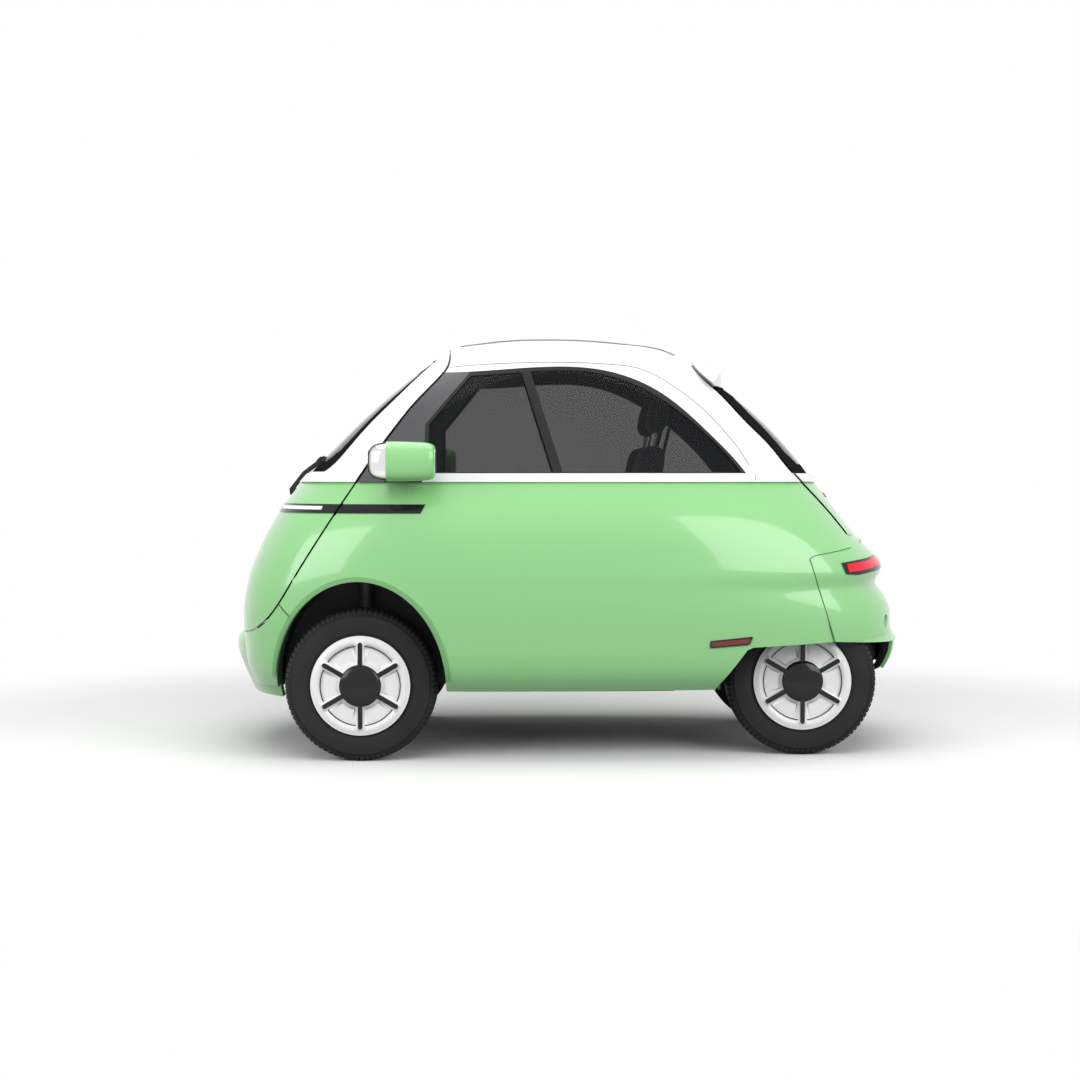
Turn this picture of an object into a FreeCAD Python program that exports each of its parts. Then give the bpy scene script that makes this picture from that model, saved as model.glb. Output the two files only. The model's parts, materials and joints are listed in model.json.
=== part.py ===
import FreeCAD, Part

import math
import os

from FreeCAD import Placement, Rotation, Vector

# A two-seat microcar with a front-opening door, a wide front track and a narrow rear track.
# x points to the rear of the car, y to its right side and z up, all in millimetres.
# The origin is on the ground, under the middle of the car's box.

doc = FreeCAD.newDocument("microcar")
sheet = doc.addObject("Spreadsheet::Sheet", "sizes")

# Each row is the alias, the value and what the size is.
DRIVING_SIZES = [
    ("nose_reach", 1200, "front of the door skin, ahead of the origin"),
    ("tail_reach", 1240, "rear of the rear bumper, behind the origin"),
    ("half_width", 736, "widest half section of the body"),
    ("roof_height", 1505, "crown of the roof over the ground"),
    ("wall_thickness", 45, "body wall and door, skin to inner trim"),
    ("glass_thickness", 6, "all glazing"),
    ("glass_inset", 3, "glazing under the outer surface"),
    ("shut_gap", 8.5, "gap along the shut lines of door and tailgate"),
    ("belt_low", 976, "lower edge of the belt trim"),
    ("belt_high", 1006, "upper edge of the belt trim"),
    ("belt_proud", 8, "belt trim over the body surface"),
    ("bumper_reach", 1240, "front of the front bumper"),
    ("wiper_arm_y", 40, "wiper arm from the centreline"),
    ("wiper_reach", 250, "half length of the wiper blade"),
    ("tow_hole_radius", 8, "threaded holes for a towing eye"),
    ("tow_hole_depth", 50, "threaded holes for a towing eye"),
    ("tow_boss_end", 5, "wall behind the threaded holes"),
    ("tow_y", 340, "towing sockets from the centreline"),
    ("tow_front_x", -1136, "face of the front towing socket"),
    ("tow_front_z", 318, "height of the front towing socket"),
    ("tow_rear_x", 1136, "face of the rear towing socket"),
    ("tow_rear_z", 470, "height of the rear towing socket"),
    ("front_axle_x", -724, "front axle"),
    ("rear_axle_x", 837, "rear axle"),
    ("wheel_radius", 266.5, "tyre on the ground"),
    ("tyre_width", 145, "tyre section"),
    ("tyre_shoulder", 34, "radius of the tyre's shoulders"),
    ("tyre_clearance", 7, "room round the rear tyres inside the bumper"),
    ("rim_radius", 168, "bead seat of the rim"),
    ("disc_radius", 174, "outer edge of the wheel disc"),
    ("front_wheel_y", 558, "front wheel mid plane from the centreline"),
    ("rear_wheel_y", 408, "rear wheel mid plane from the centreline"),
    ("hub_cap_radius", 73, "domed cap in the wheel disc"),
    ("hub_cap_rise", 15, "dome of the cap over the wheel face"),
    ("disc_lip", 5, "lip of the wheel disc over the tyre's side"),
    ("disc_rise", 4, "wheel face over the lip"),
    ("face_radius", 160, "flat of the wheel face"),
    ("recess_inner", 84, "inner radius of the face's six recesses"),
    ("recess_outer", 140, "outer radius of the face's six recesses"),
    ("recess_depth", 5, "depth of the face's six recesses"),
    ("spoke_width", 30, "land between two recesses"),
    ("bar_width", 15, "spoke bars on the lands"),
    ("bar_reach", 151, "outer end of the spoke bars from the axle"),
    ("bar_rise", 4, "spoke bars over the wheel face"),
    ("bore_radius", 15, "wheel bearing bore"),
    ("pin_clearance", 0.3, "radial play of pins, spindles and pivots"),
    ("arch_half_length", 301, "front wheel arch, half length at axle height"),
    ("arch_rise", 366, "front wheel arch, top over the axle"),
    ("arch_inner_y", 345, "inner wall of the front wheel house"),
    ("liner_thickness", 5, "wheel house liners"),
    ("rear_house_radius", 305, "rear wheel houses"),
    ("rear_house_inner_y", 315, "inner wall of the rear wheel houses"),
    ("floor_height", 242, "underside of the floor"),
    ("floor_thickness", 30, "floor pan"),
    ("toe_x", -975, "front end of the flat floor"),
    ("toe_top_x", -1110, "upper end of the toe board"),
    ("toe_top_height", 428, "upper end of the toe board"),
    ("rear_floor_height", 580, "underside of the luggage floor"),
    ("step_x", 345, "rear wall of the floor tub"),
    ("light_bar_low", 868, "lower edge of the light bar"),
    ("light_bar_high", 899, "upper edge of the light bar"),
    ("light_bar_proud", 3, "light bar over the body surface"),
    ("light_bar_depth", 10, "depth of the light bar in its groove"),
    ("door_pin_radius", 4, "pivot pin of the door"),
    ("door_pin_length", 68, "pivot pin of the door"),
    ("tailgate_pin_radius", 3, "hinge pins of the tailgate"),
    ("tailgate_barrel_radius", 7, "hinge knuckles of the tailgate"),
    ("tailgate_eye_width", 30, "hinge eyes of the tailgate"),
    ("tailgate_hinge_y", 140, "tailgate hinges from the centreline"),
    ("kingpin_y", 478, "steering axis of the front wheels"),
    ("kingpin_radius", 11, "ball pins of the knuckle"),
    ("knuckle_half_height", 114, "upright of the knuckle over and under the axle"),
    ("kingpin_length", 24, "ball pins of the knuckle"),
    ("arm_thickness", 16, "lower arms and strut eyes"),
    ("strut_y", 405, "front struts"),
    ("strut_radius", 24, "front struts"),
    ("hub_radius", 42, "wheel hubs"),
    ("hub_inner", -55, "inner end of the wheel hub from the wheel's mid plane"),
    ("spindle_end", 52, "outer end of the spindles from the wheel's mid plane"),
    ("axle_tube_radius", 30, "rear axle tube"),
    ("steering_rim_radius", 178, "steering wheel, to the middle of its rim"),
    ("steering_grip", 15, "half thickness of the steering wheel rim"),
    ("steering_x", -392, "centre of the steering wheel"),
    ("steering_y", -300, "centre of the steering wheel"),
    ("steering_z", 905, "centre of the steering wheel"),
    ("steering_lean", 45, "steering column over the horizontal, degrees"),
    ("column_radius", 22, "steering column tube"),
    ("seat_half_width", 520, "half width of the bench"),
    ("seat_front_x", -330, "front edge of the cushion"),
    ("cushion_thickness", 130, "seat cushion"),
    ("cushion_length", 460, "seat cushion, front to back"),
    ("seat_back_length", 660, "seat back along its slope"),
    ("seat_back_thickness", 95, "seat back"),
    ("seat_back_lean", 11, "lean of the seat back, degrees"),
    ("seat_gap", 0.3, "gap between the soft parts and what carries them"),
    ("headrest_y", 270, "headrests from the centreline"),
    ("headrest_height", 150, "headrests"),
    ("headrest_width", 230, "headrests"),
    ("headrest_thickness", 88, "headrests"),
    ("headrest_rise", 22, "headrests over the seat back"),
    ("battery_front_x", -270, "battery case"),
    ("battery_length", 540, "battery case"),
    ("battery_width", 900, "battery case"),
    ("battery_height", 158, "battery case"),
    ("motor_length", 190, "drive unit along the car"),
    ("motor_width", 340, "drive unit"),
    ("motor_height", 230, "drive unit"),
    ("mirror_length", 226, "mirror pod along the car"),
    ("mirror_height", 134, "mirror pod"),
    ("mirror_width", 140, "mirror pod across the car"),
    ("mirror_outboard", 39, "middle of the mirror pod outboard of the widest section"),
    ("mirror_over_belt", 40, "middle of the mirror pod over the belt trim"),
    ("lamp_length", 62, "headlamp in the front end of the mirror pod"),
]

for row, (alias, value, note) in enumerate(DRIVING_SIZES, start=1):
    sheet.set(f"A{row}", alias)
    sheet.set(f"B{row}", str(value))
    sheet.setAlias(f"B{row}", alias)
    sheet.set(f"C{row}", note)
doc.recompute()


def size(alias):
    return float(sheet.get(alias))


parts = []


def keep(label, obj):
    """Names a finished sub-part; its label is the name of its file."""
    obj.Label = label
    parts.append(obj)
    return obj


def free_form(label, shape, placement=Placement()):
    """A sub-part whose shape is cut from the body's lofts."""
    obj = doc.addObject("Part::Feature", label + "_shape")
    obj.Shape = shape
    obj.Placement = placement
    return keep(label, obj)


# The body surface

# The body is drawn in horizontal sections. Each row is a height, the nose and tail on the
# centreline, the half width, the x of the widest point, the lean of the wall in degrees, and how
# square the section is at nose, front flank, rear flank and tail (0.55 is an ellipse).
DRAWN_NOSE = 1200
DRAWN_TAIL = 1238
DRAWN_HALF_WIDTH = 736
DRAWN_HEIGHT = 1505
BODY_SECTIONS = [
    (250, -1165, 1165, 652, -260, 0, 0.88, 0.84, 0.82, 0.80),
    (300, -1183, 1204, 690, -260, 0, 0.88, 0.84, 0.82, 0.80),
    (400, -1197, 1237, 717, -260, 0, 0.88, 0.84, 0.80, 0.80),
    (500, -1200, 1213, 729, -260, 0, 0.88, 0.84, 0.80, 0.80),
    (575, -1192, 1176, 734, -260, 0, 0.88, 0.83, 0.79, 0.80),
    (606, -1185, 1158, 735, -260, 0, 0.88, 0.83, 0.79, 0.80),
    (642, -1177, 1176, 736, -260, 0, 0.88, 0.82, 0.78, 0.80),
    (684, -1161, 1167, 735, -258, 2, 0.88, 0.82, 0.77, 0.80),
    (770, -1124, 1092, 730, -250, 5, 0.87, 0.80, 0.75, 0.82),
    (880, -1062, 1003, 708, -230, 10, 0.85, 0.77, 0.71, 0.84),
    (980, -986, 928, 668, -200, 18, 0.84, 0.74, 0.68, 0.86),
    (1080, -892, 853, 632, -170, 24, 0.83, 0.72, 0.67, 0.87),
    (1180, -793, 762, 604, -140, 28, 0.82, 0.71, 0.67, 0.86),
    (1280, -683, 650, 573, -110, 34, 0.82, 0.70, 0.67, 0.84),
    (1360, -586, 541, 540, -90, 42, 0.78, 0.68, 0.66, 0.80),
    (1420, -508, 455, 498, -70, 52, 0.74, 0.66, 0.64, 0.74),
    (1464, -451, 366, 425, -60, 65, 0.68, 0.62, 0.60, 0.68),
]
# Over the last section the roof is a shallow dome whose sections shrink to its crown.
CROWN_SHARES = (0.8, 0.6, 0.4, 0.2, 0.05)
ROOF_CROWN_X = -90


FAR = 1500
WIDE = 900


def stretch_x(x):
    """Maps a drawn x to the car: ahead of the origin with the nose, behind it with the tail."""
    reach, drawn = (size("nose_reach"), DRAWN_NOSE) if x < 0 else (size("tail_reach"), DRAWN_TAIL)
    return x * reach / drawn


def stretch_z(z):
    return z * size("roof_height") / DRAWN_HEIGHT


def stretch_y(y):
    return y * size("half_width") / DRAWN_HALF_WIDTH


def quarter(nose, side, k_nose, k_side):
    """One quarter of a section, from the centreline point to the flank point."""
    across = Vector(0, side.y * k_nose, 0)
    along = Vector((nose.x - side.x) * k_side, 0, 0)
    curve = Part.BezierCurve()
    curve.setPoles([nose, nose + across, side + along, side])
    return curve.toShape()


def section_wire(section, inset):
    z, nose, tail, width, widest, lean, k_nose, k_front, k_rear, k_tail = section
    level = inset * math.cos(math.radians(lean))
    drop = inset * math.sin(math.radians(lean))
    z = stretch_z(z) - drop
    front = Vector(stretch_x(nose) + level, 0, z)
    back = Vector(stretch_x(tail) - level, 0, z)
    left = Vector(stretch_x(widest), -(stretch_y(width) - level), z)
    right = Vector(left.x, -left.y, z)
    edges = [
        quarter(front, left, k_nose, k_front),
        quarter(back, left, k_tail, k_rear),
        quarter(back, right, k_tail, k_rear),
        quarter(front, right, k_nose, k_front),
    ]
    return Part.Wire(edges)


def crown_section(share):
    """A section of the roof dome; share is its size against the last drawn section."""
    z, nose, tail, width, widest, lean, k_nose, k_front, k_rear, k_tail = BODY_SECTIONS[-1]
    crown = Vector(ROOF_CROWN_X, 0, DRAWN_HEIGHT)
    return (
        crown.z - (crown.z - z) * share ** 2,
        crown.x + (nose - crown.x) * share,
        crown.x + (tail - crown.x) * share,
        width * share,
        crown.x + (widest - crown.x) * share,
        90 - (90 - lean) * share,
        k_nose, k_front, k_rear, k_tail,
    )


def body_solid(inset, below=0):
    """The space inside the body surface, moved inwards by inset, open further down by below."""
    sections = BODY_SECTIONS + [crown_section(share) for share in CROWN_SHARES]
    wires = [section_wire(section, inset) for section in sections]
    if below:
        lowest = wires[0].copy()
        lowest.translate(Vector(0, 0, -below))
        wires.insert(0, lowest)
    return Part.makeLoft(wires, True, False)


def drawn(x, y, z):
    """A point drawn with the body's sections, on the car."""
    return Vector(stretch_x(x), stretch_y(y), stretch_z(z))


def side_prism(points, y_from=-WIDE, y_to=WIDE, place=drawn):
    """A prism across the car, drawn in side view from straight lines through the points."""
    corners = [place(x, y_from, z) for x, z in points]
    face = Part.Face(Part.makePolygon(corners + corners[:1]))
    return face.extrude(place(0, y_to, 0) - place(0, y_from, 0))


def curve_prism(curve_points, corner_points, shift=Vector()):
    """A prism across the car: one smooth curve in side view, closed through the corners."""
    curve = Part.BSplineCurve()
    curve.interpolate([drawn(x, -WIDE, z) + shift for x, z in curve_points])
    corners = [curve_points[-1]] + corner_points + [curve_points[0]]
    lines = Part.makePolygon([drawn(x, -WIDE, z) + shift for x, z in corners])
    wire = Part.Wire([curve.toShape()] + lines.Edges)
    return Part.Face(wire).extrude(drawn(0, 2 * WIDE, 0))


def mirrored(shape):
    return shape.mirror(Vector(0, 0, 0), Vector(0, 1, 0))


def slab(z_from, z_to):
    """Everything between two heights."""
    return Part.makeBox(3000, 2000, z_to - z_from, Vector(-1500, -1000, z_from))


wall = size("wall_thickness")
outer = body_solid(0)
inner = body_solid(wall, below=100)
shell = outer.cut(inner)

# The shut line of the front door in side view, from the roof down to the nose.
SHUT_LINE = [
    (-427, 1452), (-423, 1420), (-428, 1388), (-446, 1359), (-540, 1256), (-613, 1162),
    (-702, 1036), (-741, 972), (-778, 914), (-891, 737), (-955, 636), (-1003, 560),
    (-1060, 490), (-1130, 445), (-1190, 434),
]


def door_space(shift):
    """Everything ahead of the shut line, which is moved back and down by shift."""
    corners = [(-FAR, SHUT_LINE[-1][1]), (-FAR, FAR + 200), (SHUT_LINE[0][0], FAR + 200)]
    return curve_prism(SHUT_LINE, corners, Vector(0.85 * shift, 0, -0.6 * shift))


gap = size("shut_gap")
door_region = door_space(-gap / 2)
behind_door = door_space(gap / 2)

# The edge of the tailgate in side view, from the roof along its side down to the bumper.
TAILGATE_LINE = [
    (462, 1420), (466, 1396), (530, 1316), (645, 1190), (726, 1110), (790, 1031), (836, 982),
    (1014, 782)]


def tailgate_space(shift):
    """Everything behind the tailgate's edge, which is moved ahead and down by shift."""
    corners = [(FAR, TAILGATE_LINE[-1][1]), (FAR, FAR + 200), (TAILGATE_LINE[0][0], FAR + 200)]
    return curve_prism(TAILGATE_LINE, corners, Vector(-0.75 * shift, 0, -0.75 * shift))


tailgate_region = tailgate_space(-gap / 2)
ahead_of_tailgate = tailgate_space(gap / 2)

fixed_shell = shell.cut(behind_door).cut(ahead_of_tailgate)
door_shell = shell.common(door_region)
tailgate_shell = shell.common(tailgate_region)

belt_low = stretch_z(size("belt_low"))
belt_high = stretch_z(size("belt_high"))
below_belt = slab(0, belt_low)
above_belt = slab(belt_high, FAR + 200)

# The wheel arches

axle_front = size("front_axle_x")
axle_rear = size("rear_axle_x")
wheel_radius = size("wheel_radius")


def arch_cylinder(grow, y_from, y_to):
    """The front wheel arch's elliptical cylinder, made wider by grow."""
    half_length = size("arch_half_length") + grow
    rise = size("arch_rise") + grow
    centre = Vector(axle_front, y_from, wheel_radius)
    ellipse = Part.Ellipse(
        centre + Vector(0, 0, rise), centre + Vector(half_length, 0, 0), centre)
    face = Part.Face(Part.Wire(ellipse.toShape()))
    return face.extrude(Vector(0, y_to - y_from, 0))


front_arches = arch_cylinder(0, -FAR, -size("arch_inner_y"))
front_arches = front_arches.fuse(mirrored(front_arches))

# The rear skirt's lower edge: the sill ends in a slant, and the skirt covers the tyre's top.
skirt_cut = side_prism([
    (512, 190), (512, 250), (620, 393), (640, 402), (940, 414), (1165, 398), (FAR, 398), (FAR, 190)])

# The split between body side and front bumper, ahead of the arch.
BUMPER_SPLIT_X = -985
bumper_side_split = side_prism([
    (-FAR, 0), (BUMPER_SPLIT_X, 0), (BUMPER_SPLIT_X, 540), (-1000, 566), (-FAR, 566)])

# The split between body side and rear bumper.
rear_split = side_prism([
    (846, 728), (850, 690), (970, 395), (980, 0), (FAR, 0), (FAR, 800), (1022, 800),
    (1000, 780), (940, 752), (880, 740)])

lower_shell = fixed_shell.common(below_belt).cut(front_arches).cut(skirt_cut)
rear_bumper = lower_shell.common(rear_split)
side_shell = lower_shell.cut(rear_split)
front_corner = side_shell.common(bumper_side_split)
sides = side_shell.cut(bumper_side_split)

# The front bumper has its own nose that stands out under the door.
BUMPER_SECTIONS = [
    (204, -1188, 660), (240, -1206, 680), (310, -1236, 700), (376, -1252, 712),
    (412, -1240, 712), (428, -1215, 708),
]


def bumper_solid(inset, below=0, above=0):
    wires = []
    ratio = size("bumper_reach") / 1252
    for z, nose, width in BUMPER_SECTIONS:
        section = (z, nose * ratio, 1150, width, -260, 0, 0.66, 0.66, 0.6, 0.7)
        wires.append(section_wire(section, inset))
    if below:
        low = wires[0].copy()
        low.translate(Vector(0, 0, -below))
        high = wires[-1].copy()
        high.translate(Vector(0, 0, above))
        wires = [low] + wires + [high]
    return Part.makeLoft(wires, True, False)


bumper_wall = 40
bumper_nose = bumper_solid(0).cut(bumper_solid(bumper_wall, below=50, above=50))
bumper_nose = bumper_nose.common(side_prism([
    (-FAR, 0), (BUMPER_SPLIT_X, 0), (BUMPER_SPLIT_X, 500), (-FAR, 500)]))
bumper_nose = bumper_nose.cut(front_arches)
front_bumper = front_corner.fuse(bumper_nose).cut(behind_door)
front_bumper = front_bumper.removeSplitter()


def with_tow_socket(bumper, face_x, y, z, inwards):
    """Adds a towing socket: a boss behind a recessed flat face, with a blind threaded hole."""
    depth = size("tow_hole_depth")
    radius = size("tow_hole_radius")
    face = Vector(face_x, y, z)
    axis = Vector(inwards, 0, 0)
    boss = Part.makeCylinder(2.2 * radius, depth + size("tow_boss_end"), face, axis)
    recess = Part.makeCylinder(3 * radius, 100, face, -axis)
    hole = Part.makeCylinder(radius, depth, face, axis)
    return bumper.fuse(boss).cut(recess).cut(hole)


# The rear bumper's corners are hollowed where the tyres turn inside them.
tyre_room = size("tyre_clearance")
room_width = size("tyre_width") + 2 * tyre_room
room_foot = Vector(axle_rear, -size("rear_wheel_y") - room_width / 2, wheel_radius)
tyre_space = Part.makeCylinder(
    wheel_radius + tyre_room, room_width, room_foot, Vector(0, 1, 0))
rims = [edge for edge in tyre_space.Edges if isinstance(edge.Curve, Part.Circle)]
tyre_space = tyre_space.makeFillet(size("tyre_shoulder") + tyre_room, rims)
rear_bumper = rear_bumper.cut(tyre_space.fuse(mirrored(tyre_space)))

tow_y = size("tow_y")
front_bumper = with_tow_socket(front_bumper, size("tow_front_x"), tow_y, size("tow_front_z"), 1)
rear_bumper = with_tow_socket(rear_bumper, size("tow_rear_x"), -tow_y, size("tow_rear_z"), -1)

# The light bar runs round the nose in a groove, from one flank to the other.
bar_depth = size("light_bar_depth")
bar_low = size("light_bar_low")
bar_high = size("light_bar_high")
bar_end = side_prism([(-FAR, bar_low), (-509, bar_low), (-492, bar_high), (-FAR, bar_high)])
bar_ring = body_solid(-size("light_bar_proud")).cut(body_solid(bar_depth, below=100)).common(bar_end)

# The side windows

WINDOW_TOP = [
    (-445, 1366), (-98, 1380), (116, 1371), (312, 1300), (500, 1144), (606, 1032), (630, 1000)]
PILLAR_LINE = [(-349, 1500), (-349, 1358), (-500, 1178), (-502, 900)]
SEAL_WIDTH = 14
BAR_TOP = (-161, 1366)
BAR_FOOT = (-20, 1000)
BAR_HALF = 16


def window_space(shrink):
    """The side window's opening down to the belt, made smaller all round by shrink."""
    curve = [(x - shrink * (x > 300), z - shrink * (x < 400)) for x, z in WINDOW_TOP]
    return curve_prism(curve, [(-FAR, curve[-1][1]), (-FAR, curve[0][1])])


def ahead_of_pillar_line(shift):
    line = [(x + shift, z) for x, z in PILLAR_LINE]
    return side_prism(line + [(-FAR, line[-1][1]), (-FAR, line[0][1])])


window_opening = window_space(0)
glass_opening = window_space(SEAL_WIDTH).cut(ahead_of_pillar_line(SEAL_WIDTH))
glass_opening = glass_opening.cut(slab(0, belt_high + 4))
upper_shell = fixed_shell.common(above_belt)
upper_frame = upper_shell.cut(window_opening)
window_ring = upper_shell.common(window_opening)
pillar_panels = window_ring.common(ahead_of_pillar_line(0))
seal_ring = window_ring.cut(ahead_of_pillar_line(0)).cut(glass_opening)
divider = side_prism([
    (BAR_TOP[0] - BAR_HALF, BAR_TOP[1] + 40), (BAR_TOP[0] + BAR_HALF, BAR_TOP[1] + 40),
    (BAR_FOOT[0] + BAR_HALF, BAR_FOOT[1] - 40), (BAR_FOOT[0] - BAR_HALF, BAR_FOOT[1] - 40)])
glass_out = size("glass_inset")
glass_in = glass_out + size("glass_thickness")
glass_shell = body_solid(glass_out).cut(body_solid(glass_in, below=100))
divider_shell = shell.common(divider).common(glass_opening)
side_glass = glass_shell.common(glass_opening).cut(divider)
window_seals = seal_ring.fuse(divider_shell).removeSplitter()
seat_under_glass = glass_in + size("seat_gap")

# The roof panel

ROOF_PANEL = (-395, 415, 350)
panel_front, panel_rear, panel_half = ROOF_PANEL
roof_plan = side_prism(
    [(panel_front, 1300), (panel_rear, 1300), (panel_rear, 1700), (panel_front, 1700)],
    -panel_half, panel_half)
roof_plan = roof_plan.makeFillet(90, [e for e in roof_plan.Edges if abs(e.tangentAt(0).z) > 0.9])
roof_panel = upper_frame.common(roof_plan)
upper_frame = upper_frame.cut(roof_plan)

# The belt trim closes the joint between the lower and the upper body.
belt_ring = body_solid(-size("belt_proud")).cut(inner).common(slab(belt_low, belt_high))
belt_fixed = belt_ring.cut(behind_door).cut(ahead_of_tailgate)
ahead_of_mirror_foot = side_prism([(-FAR, 900), (-505, 900), (-505, 1100), (-FAR, 1100)])
mirror_base = belt_fixed.common(ahead_of_mirror_foot)
belt_fixed = belt_fixed.cut(ahead_of_mirror_foot)
pillar_panels = pillar_panels.fuse(mirror_base)
belt_door = belt_ring.common(door_region)

# The front door

WINDSHIELD_LINE = [
    (-478, 1424), (-565, 1330), (-634, 1259), (-696, 1197), (-754, 1131), (-801, 1073),
    (-840, 1032), (-870, 1012)]
windshield_space = curve_prism(
    WINDSHIELD_LINE, [(-FAR, WINDSHIELD_LINE[-1][1]), (-FAR, WINDSHIELD_LINE[0][1])])
door_upper = door_shell.common(above_belt).fuse(belt_door).removeSplitter()
door_frame = door_upper.cut(windshield_space)
windshield = glass_shell.common(door_region).common(windshield_space)
door_skin = door_shell.common(below_belt).cut(bar_ring)
light_bar = bar_ring.common(door_region)
light_bar_sides = bar_ring.cut(behind_door)
sides = sides.cut(bar_ring)

# The tailgate

rear_glass_top = stretch_z(1322)
rear_window = slab(belt_high + size("seat_gap"), rear_glass_top)
rear_glass = glass_shell.common(tailgate_region).common(rear_window)
tailgate_panel = tailgate_shell.common(below_belt)
tailgate_belt = belt_ring.common(tailgate_region)

# The cabin floor: a flat floor between a toe board and the step up to the luggage floor.
floor_low = size("floor_height")
floor_high = floor_low + size("floor_thickness")
toe_x = size("toe_x")
toe_top_x = size("toe_top_x")
toe_top = size("toe_top_height")
step_x = size("step_x")
rear_low = size("rear_floor_height")
skin = size("floor_thickness")
floor_profile = side_prism([
    (toe_top_x - skin, toe_top), (toe_x - skin / 2, floor_low), (step_x + skin, floor_low),
    (step_x + skin, rear_low), (FAR, rear_low), (FAR, rear_low + skin), (step_x, rear_low + skin),
    (step_x, floor_high), (toe_x, floor_high), (toe_top_x, toe_top)], place=Vector)
liner = size("liner_thickness")
house_wall = size("arch_inner_y") - liner
house_space = arch_cylinder(liner, -FAR, -house_wall)
house_space = house_space.fuse(mirrored(house_space))
floor_pan = floor_profile.common(body_solid(wall, below=100)).cut(house_space).cut(front_bumper)
floor_pan = max(floor_pan.Solids, key=lambda solid: solid.Volume)

# The front wheel houses reach from the body wall to their own inner wall.
house = arch_cylinder(liner, -FAR, -house_wall).cut(arch_cylinder(0, -FAR, -house_wall - liner))
house = house.common(inner).common(slab(floor_low, FAR)).cut(front_bumper)

# The rear wheel houses are half drums over the tyres, which end low ahead of them.
drum_foot = Vector(axle_rear, -WIDE, wheel_radius)
drum_radius = size("rear_house_radius")
across = Vector(0, 1, 0)
drum = Part.makeCylinder(drum_radius, WIDE - size("rear_house_inner_y"), drum_foot, across)
drum_inside = Part.makeCylinder(
    drum_radius - liner, WIDE - size("rear_house_inner_y") - liner, drum_foot, across)
axle_space = Part.makeCylinder(
    size("axle_tube_radius") + liner, 2 * WIDE, Vector(axle_rear, -WIDE, wheel_radius), across)
rear_house = drum.cut([drum_inside, axle_space]).common(inner).common(slab(floor_low, FAR))
arch_liners = Part.Compound([house, mirrored(house), rear_house, mirrored(rear_house)])

# The door turns on a pin that stands in the body wall, in front of the wheel arch, and
# reaches into a bore of the door.
DOOR_PIN_FOOT = (-955, -634, 588)
pin_foot = drawn(*DOOR_PIN_FOOT)
pin_length = size("door_pin_length")
door_pin = Part.makeCylinder(size("door_pin_radius"), pin_length, pin_foot)
pin_bore = Part.makeCylinder(
    size("door_pin_radius") + size("pin_clearance"), pin_length + 2, pin_foot)
door_skin = door_skin.cut(pin_bore)
sides = sides.fuse(door_pin)

# The tailgate's frame carries the glass and turns on pins under the spoiler.
frame_ring = body_solid(seat_under_glass).cut(body_solid(wall - 10, below=100))
frame_ring = frame_ring.common(tailgate_region).common(rear_window)
frame_opening = side_prism([(400, 1045), (1100, 1045), (1100, 1292), (400, 1292)], -300, 300)
tailgate_frame = frame_ring.cut(frame_opening)

# The tailgate's header carries the spoiler, whose profile shrinks forwards and downwards to
# both sides, as the roof does.
SPOILER_PROFILE = [(472, 1426), (581, 1389), (584, 1344), (570, 1331), (500, 1331)]
SPOILER_HALF = 430
SPOILER_FALL = 62
SPOILER_SWEEP = 66


def spoiler_wire(share):
    y = share * SPOILER_HALF
    fall = SPOILER_FALL * share ** 2
    sweep = SPOILER_SWEEP * share ** 2
    points = [drawn(x - sweep, y, z - fall) for x, z in SPOILER_PROFILE]
    return Part.makePolygon(points + points[:1])


blade = Part.makeLoft([spoiler_wire(share) for share in (-1, -0.5, 0, 0.5, 1)], True, False)
above_rear_glass = slab(rear_glass_top, 2 * FAR)
blade = blade.cut(outer).common(tailgate_region).common(above_rear_glass)
header = tailgate_shell.common(above_rear_glass)
spoiler = header.fuse(blade).removeSplitter()

# The tailgate turns on two pins in the roof's rear edge, each held by two knuckles, with the
# header's eye between them.
TAILGATE_HINGE = (462, 1411)
hinge_x = stretch_x(TAILGATE_HINGE[0])
hinge_z = stretch_z(TAILGATE_HINGE[1])
pin_radius = size("tailgate_pin_radius")
barrel_radius = size("tailgate_barrel_radius")
eye_width = size("tailgate_eye_width")
play = size("pin_clearance")


def barrel(radius, y_from, y_to):
    return Part.makeCylinder(
        radius, y_to - y_from, Vector(hinge_x, y_from, hinge_z), Vector(0, 1, 0))


for sign in (-1, 1):
    centre = sign * size("tailgate_hinge_y")
    eye_low = centre - eye_width / 2
    eye_high = centre + eye_width / 2
    tab = Part.makeBox(26, eye_width, barrel_radius, Vector(hinge_x, eye_low, hinge_z - barrel_radius))
    eye = barrel(barrel_radius, eye_low, eye_high).fuse(tab.cut(outer))
    spoiler = spoiler.cut(barrel(barrel_radius + gap / 2, eye_low - 30, eye_high + 30))
    spoiler = spoiler.fuse(eye).cut(barrel(pin_radius + play, eye_low - 30, eye_high + 30))
    upper_frame = upper_frame.cut(barrel(barrel_radius + gap / 2, eye_low - 1, eye_high + 1))
    pin = barrel(pin_radius, eye_low - 12, eye_high + 12)
    knuckles = barrel(barrel_radius, eye_low - 14, eye_low - 1).fuse(
        barrel(barrel_radius, eye_high + 1, eye_high + 14))
    upper_frame = upper_frame.fuse([knuckles, pin])


def left_of(shape):
    return shape.common(Part.makeBox(3000, 1000, 2000, Vector(-1500, -1000, -100)))


def right_of(shape):
    return shape.common(Part.makeBox(3000, 1000, 2000, Vector(-1500, 0, -100)))


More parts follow.
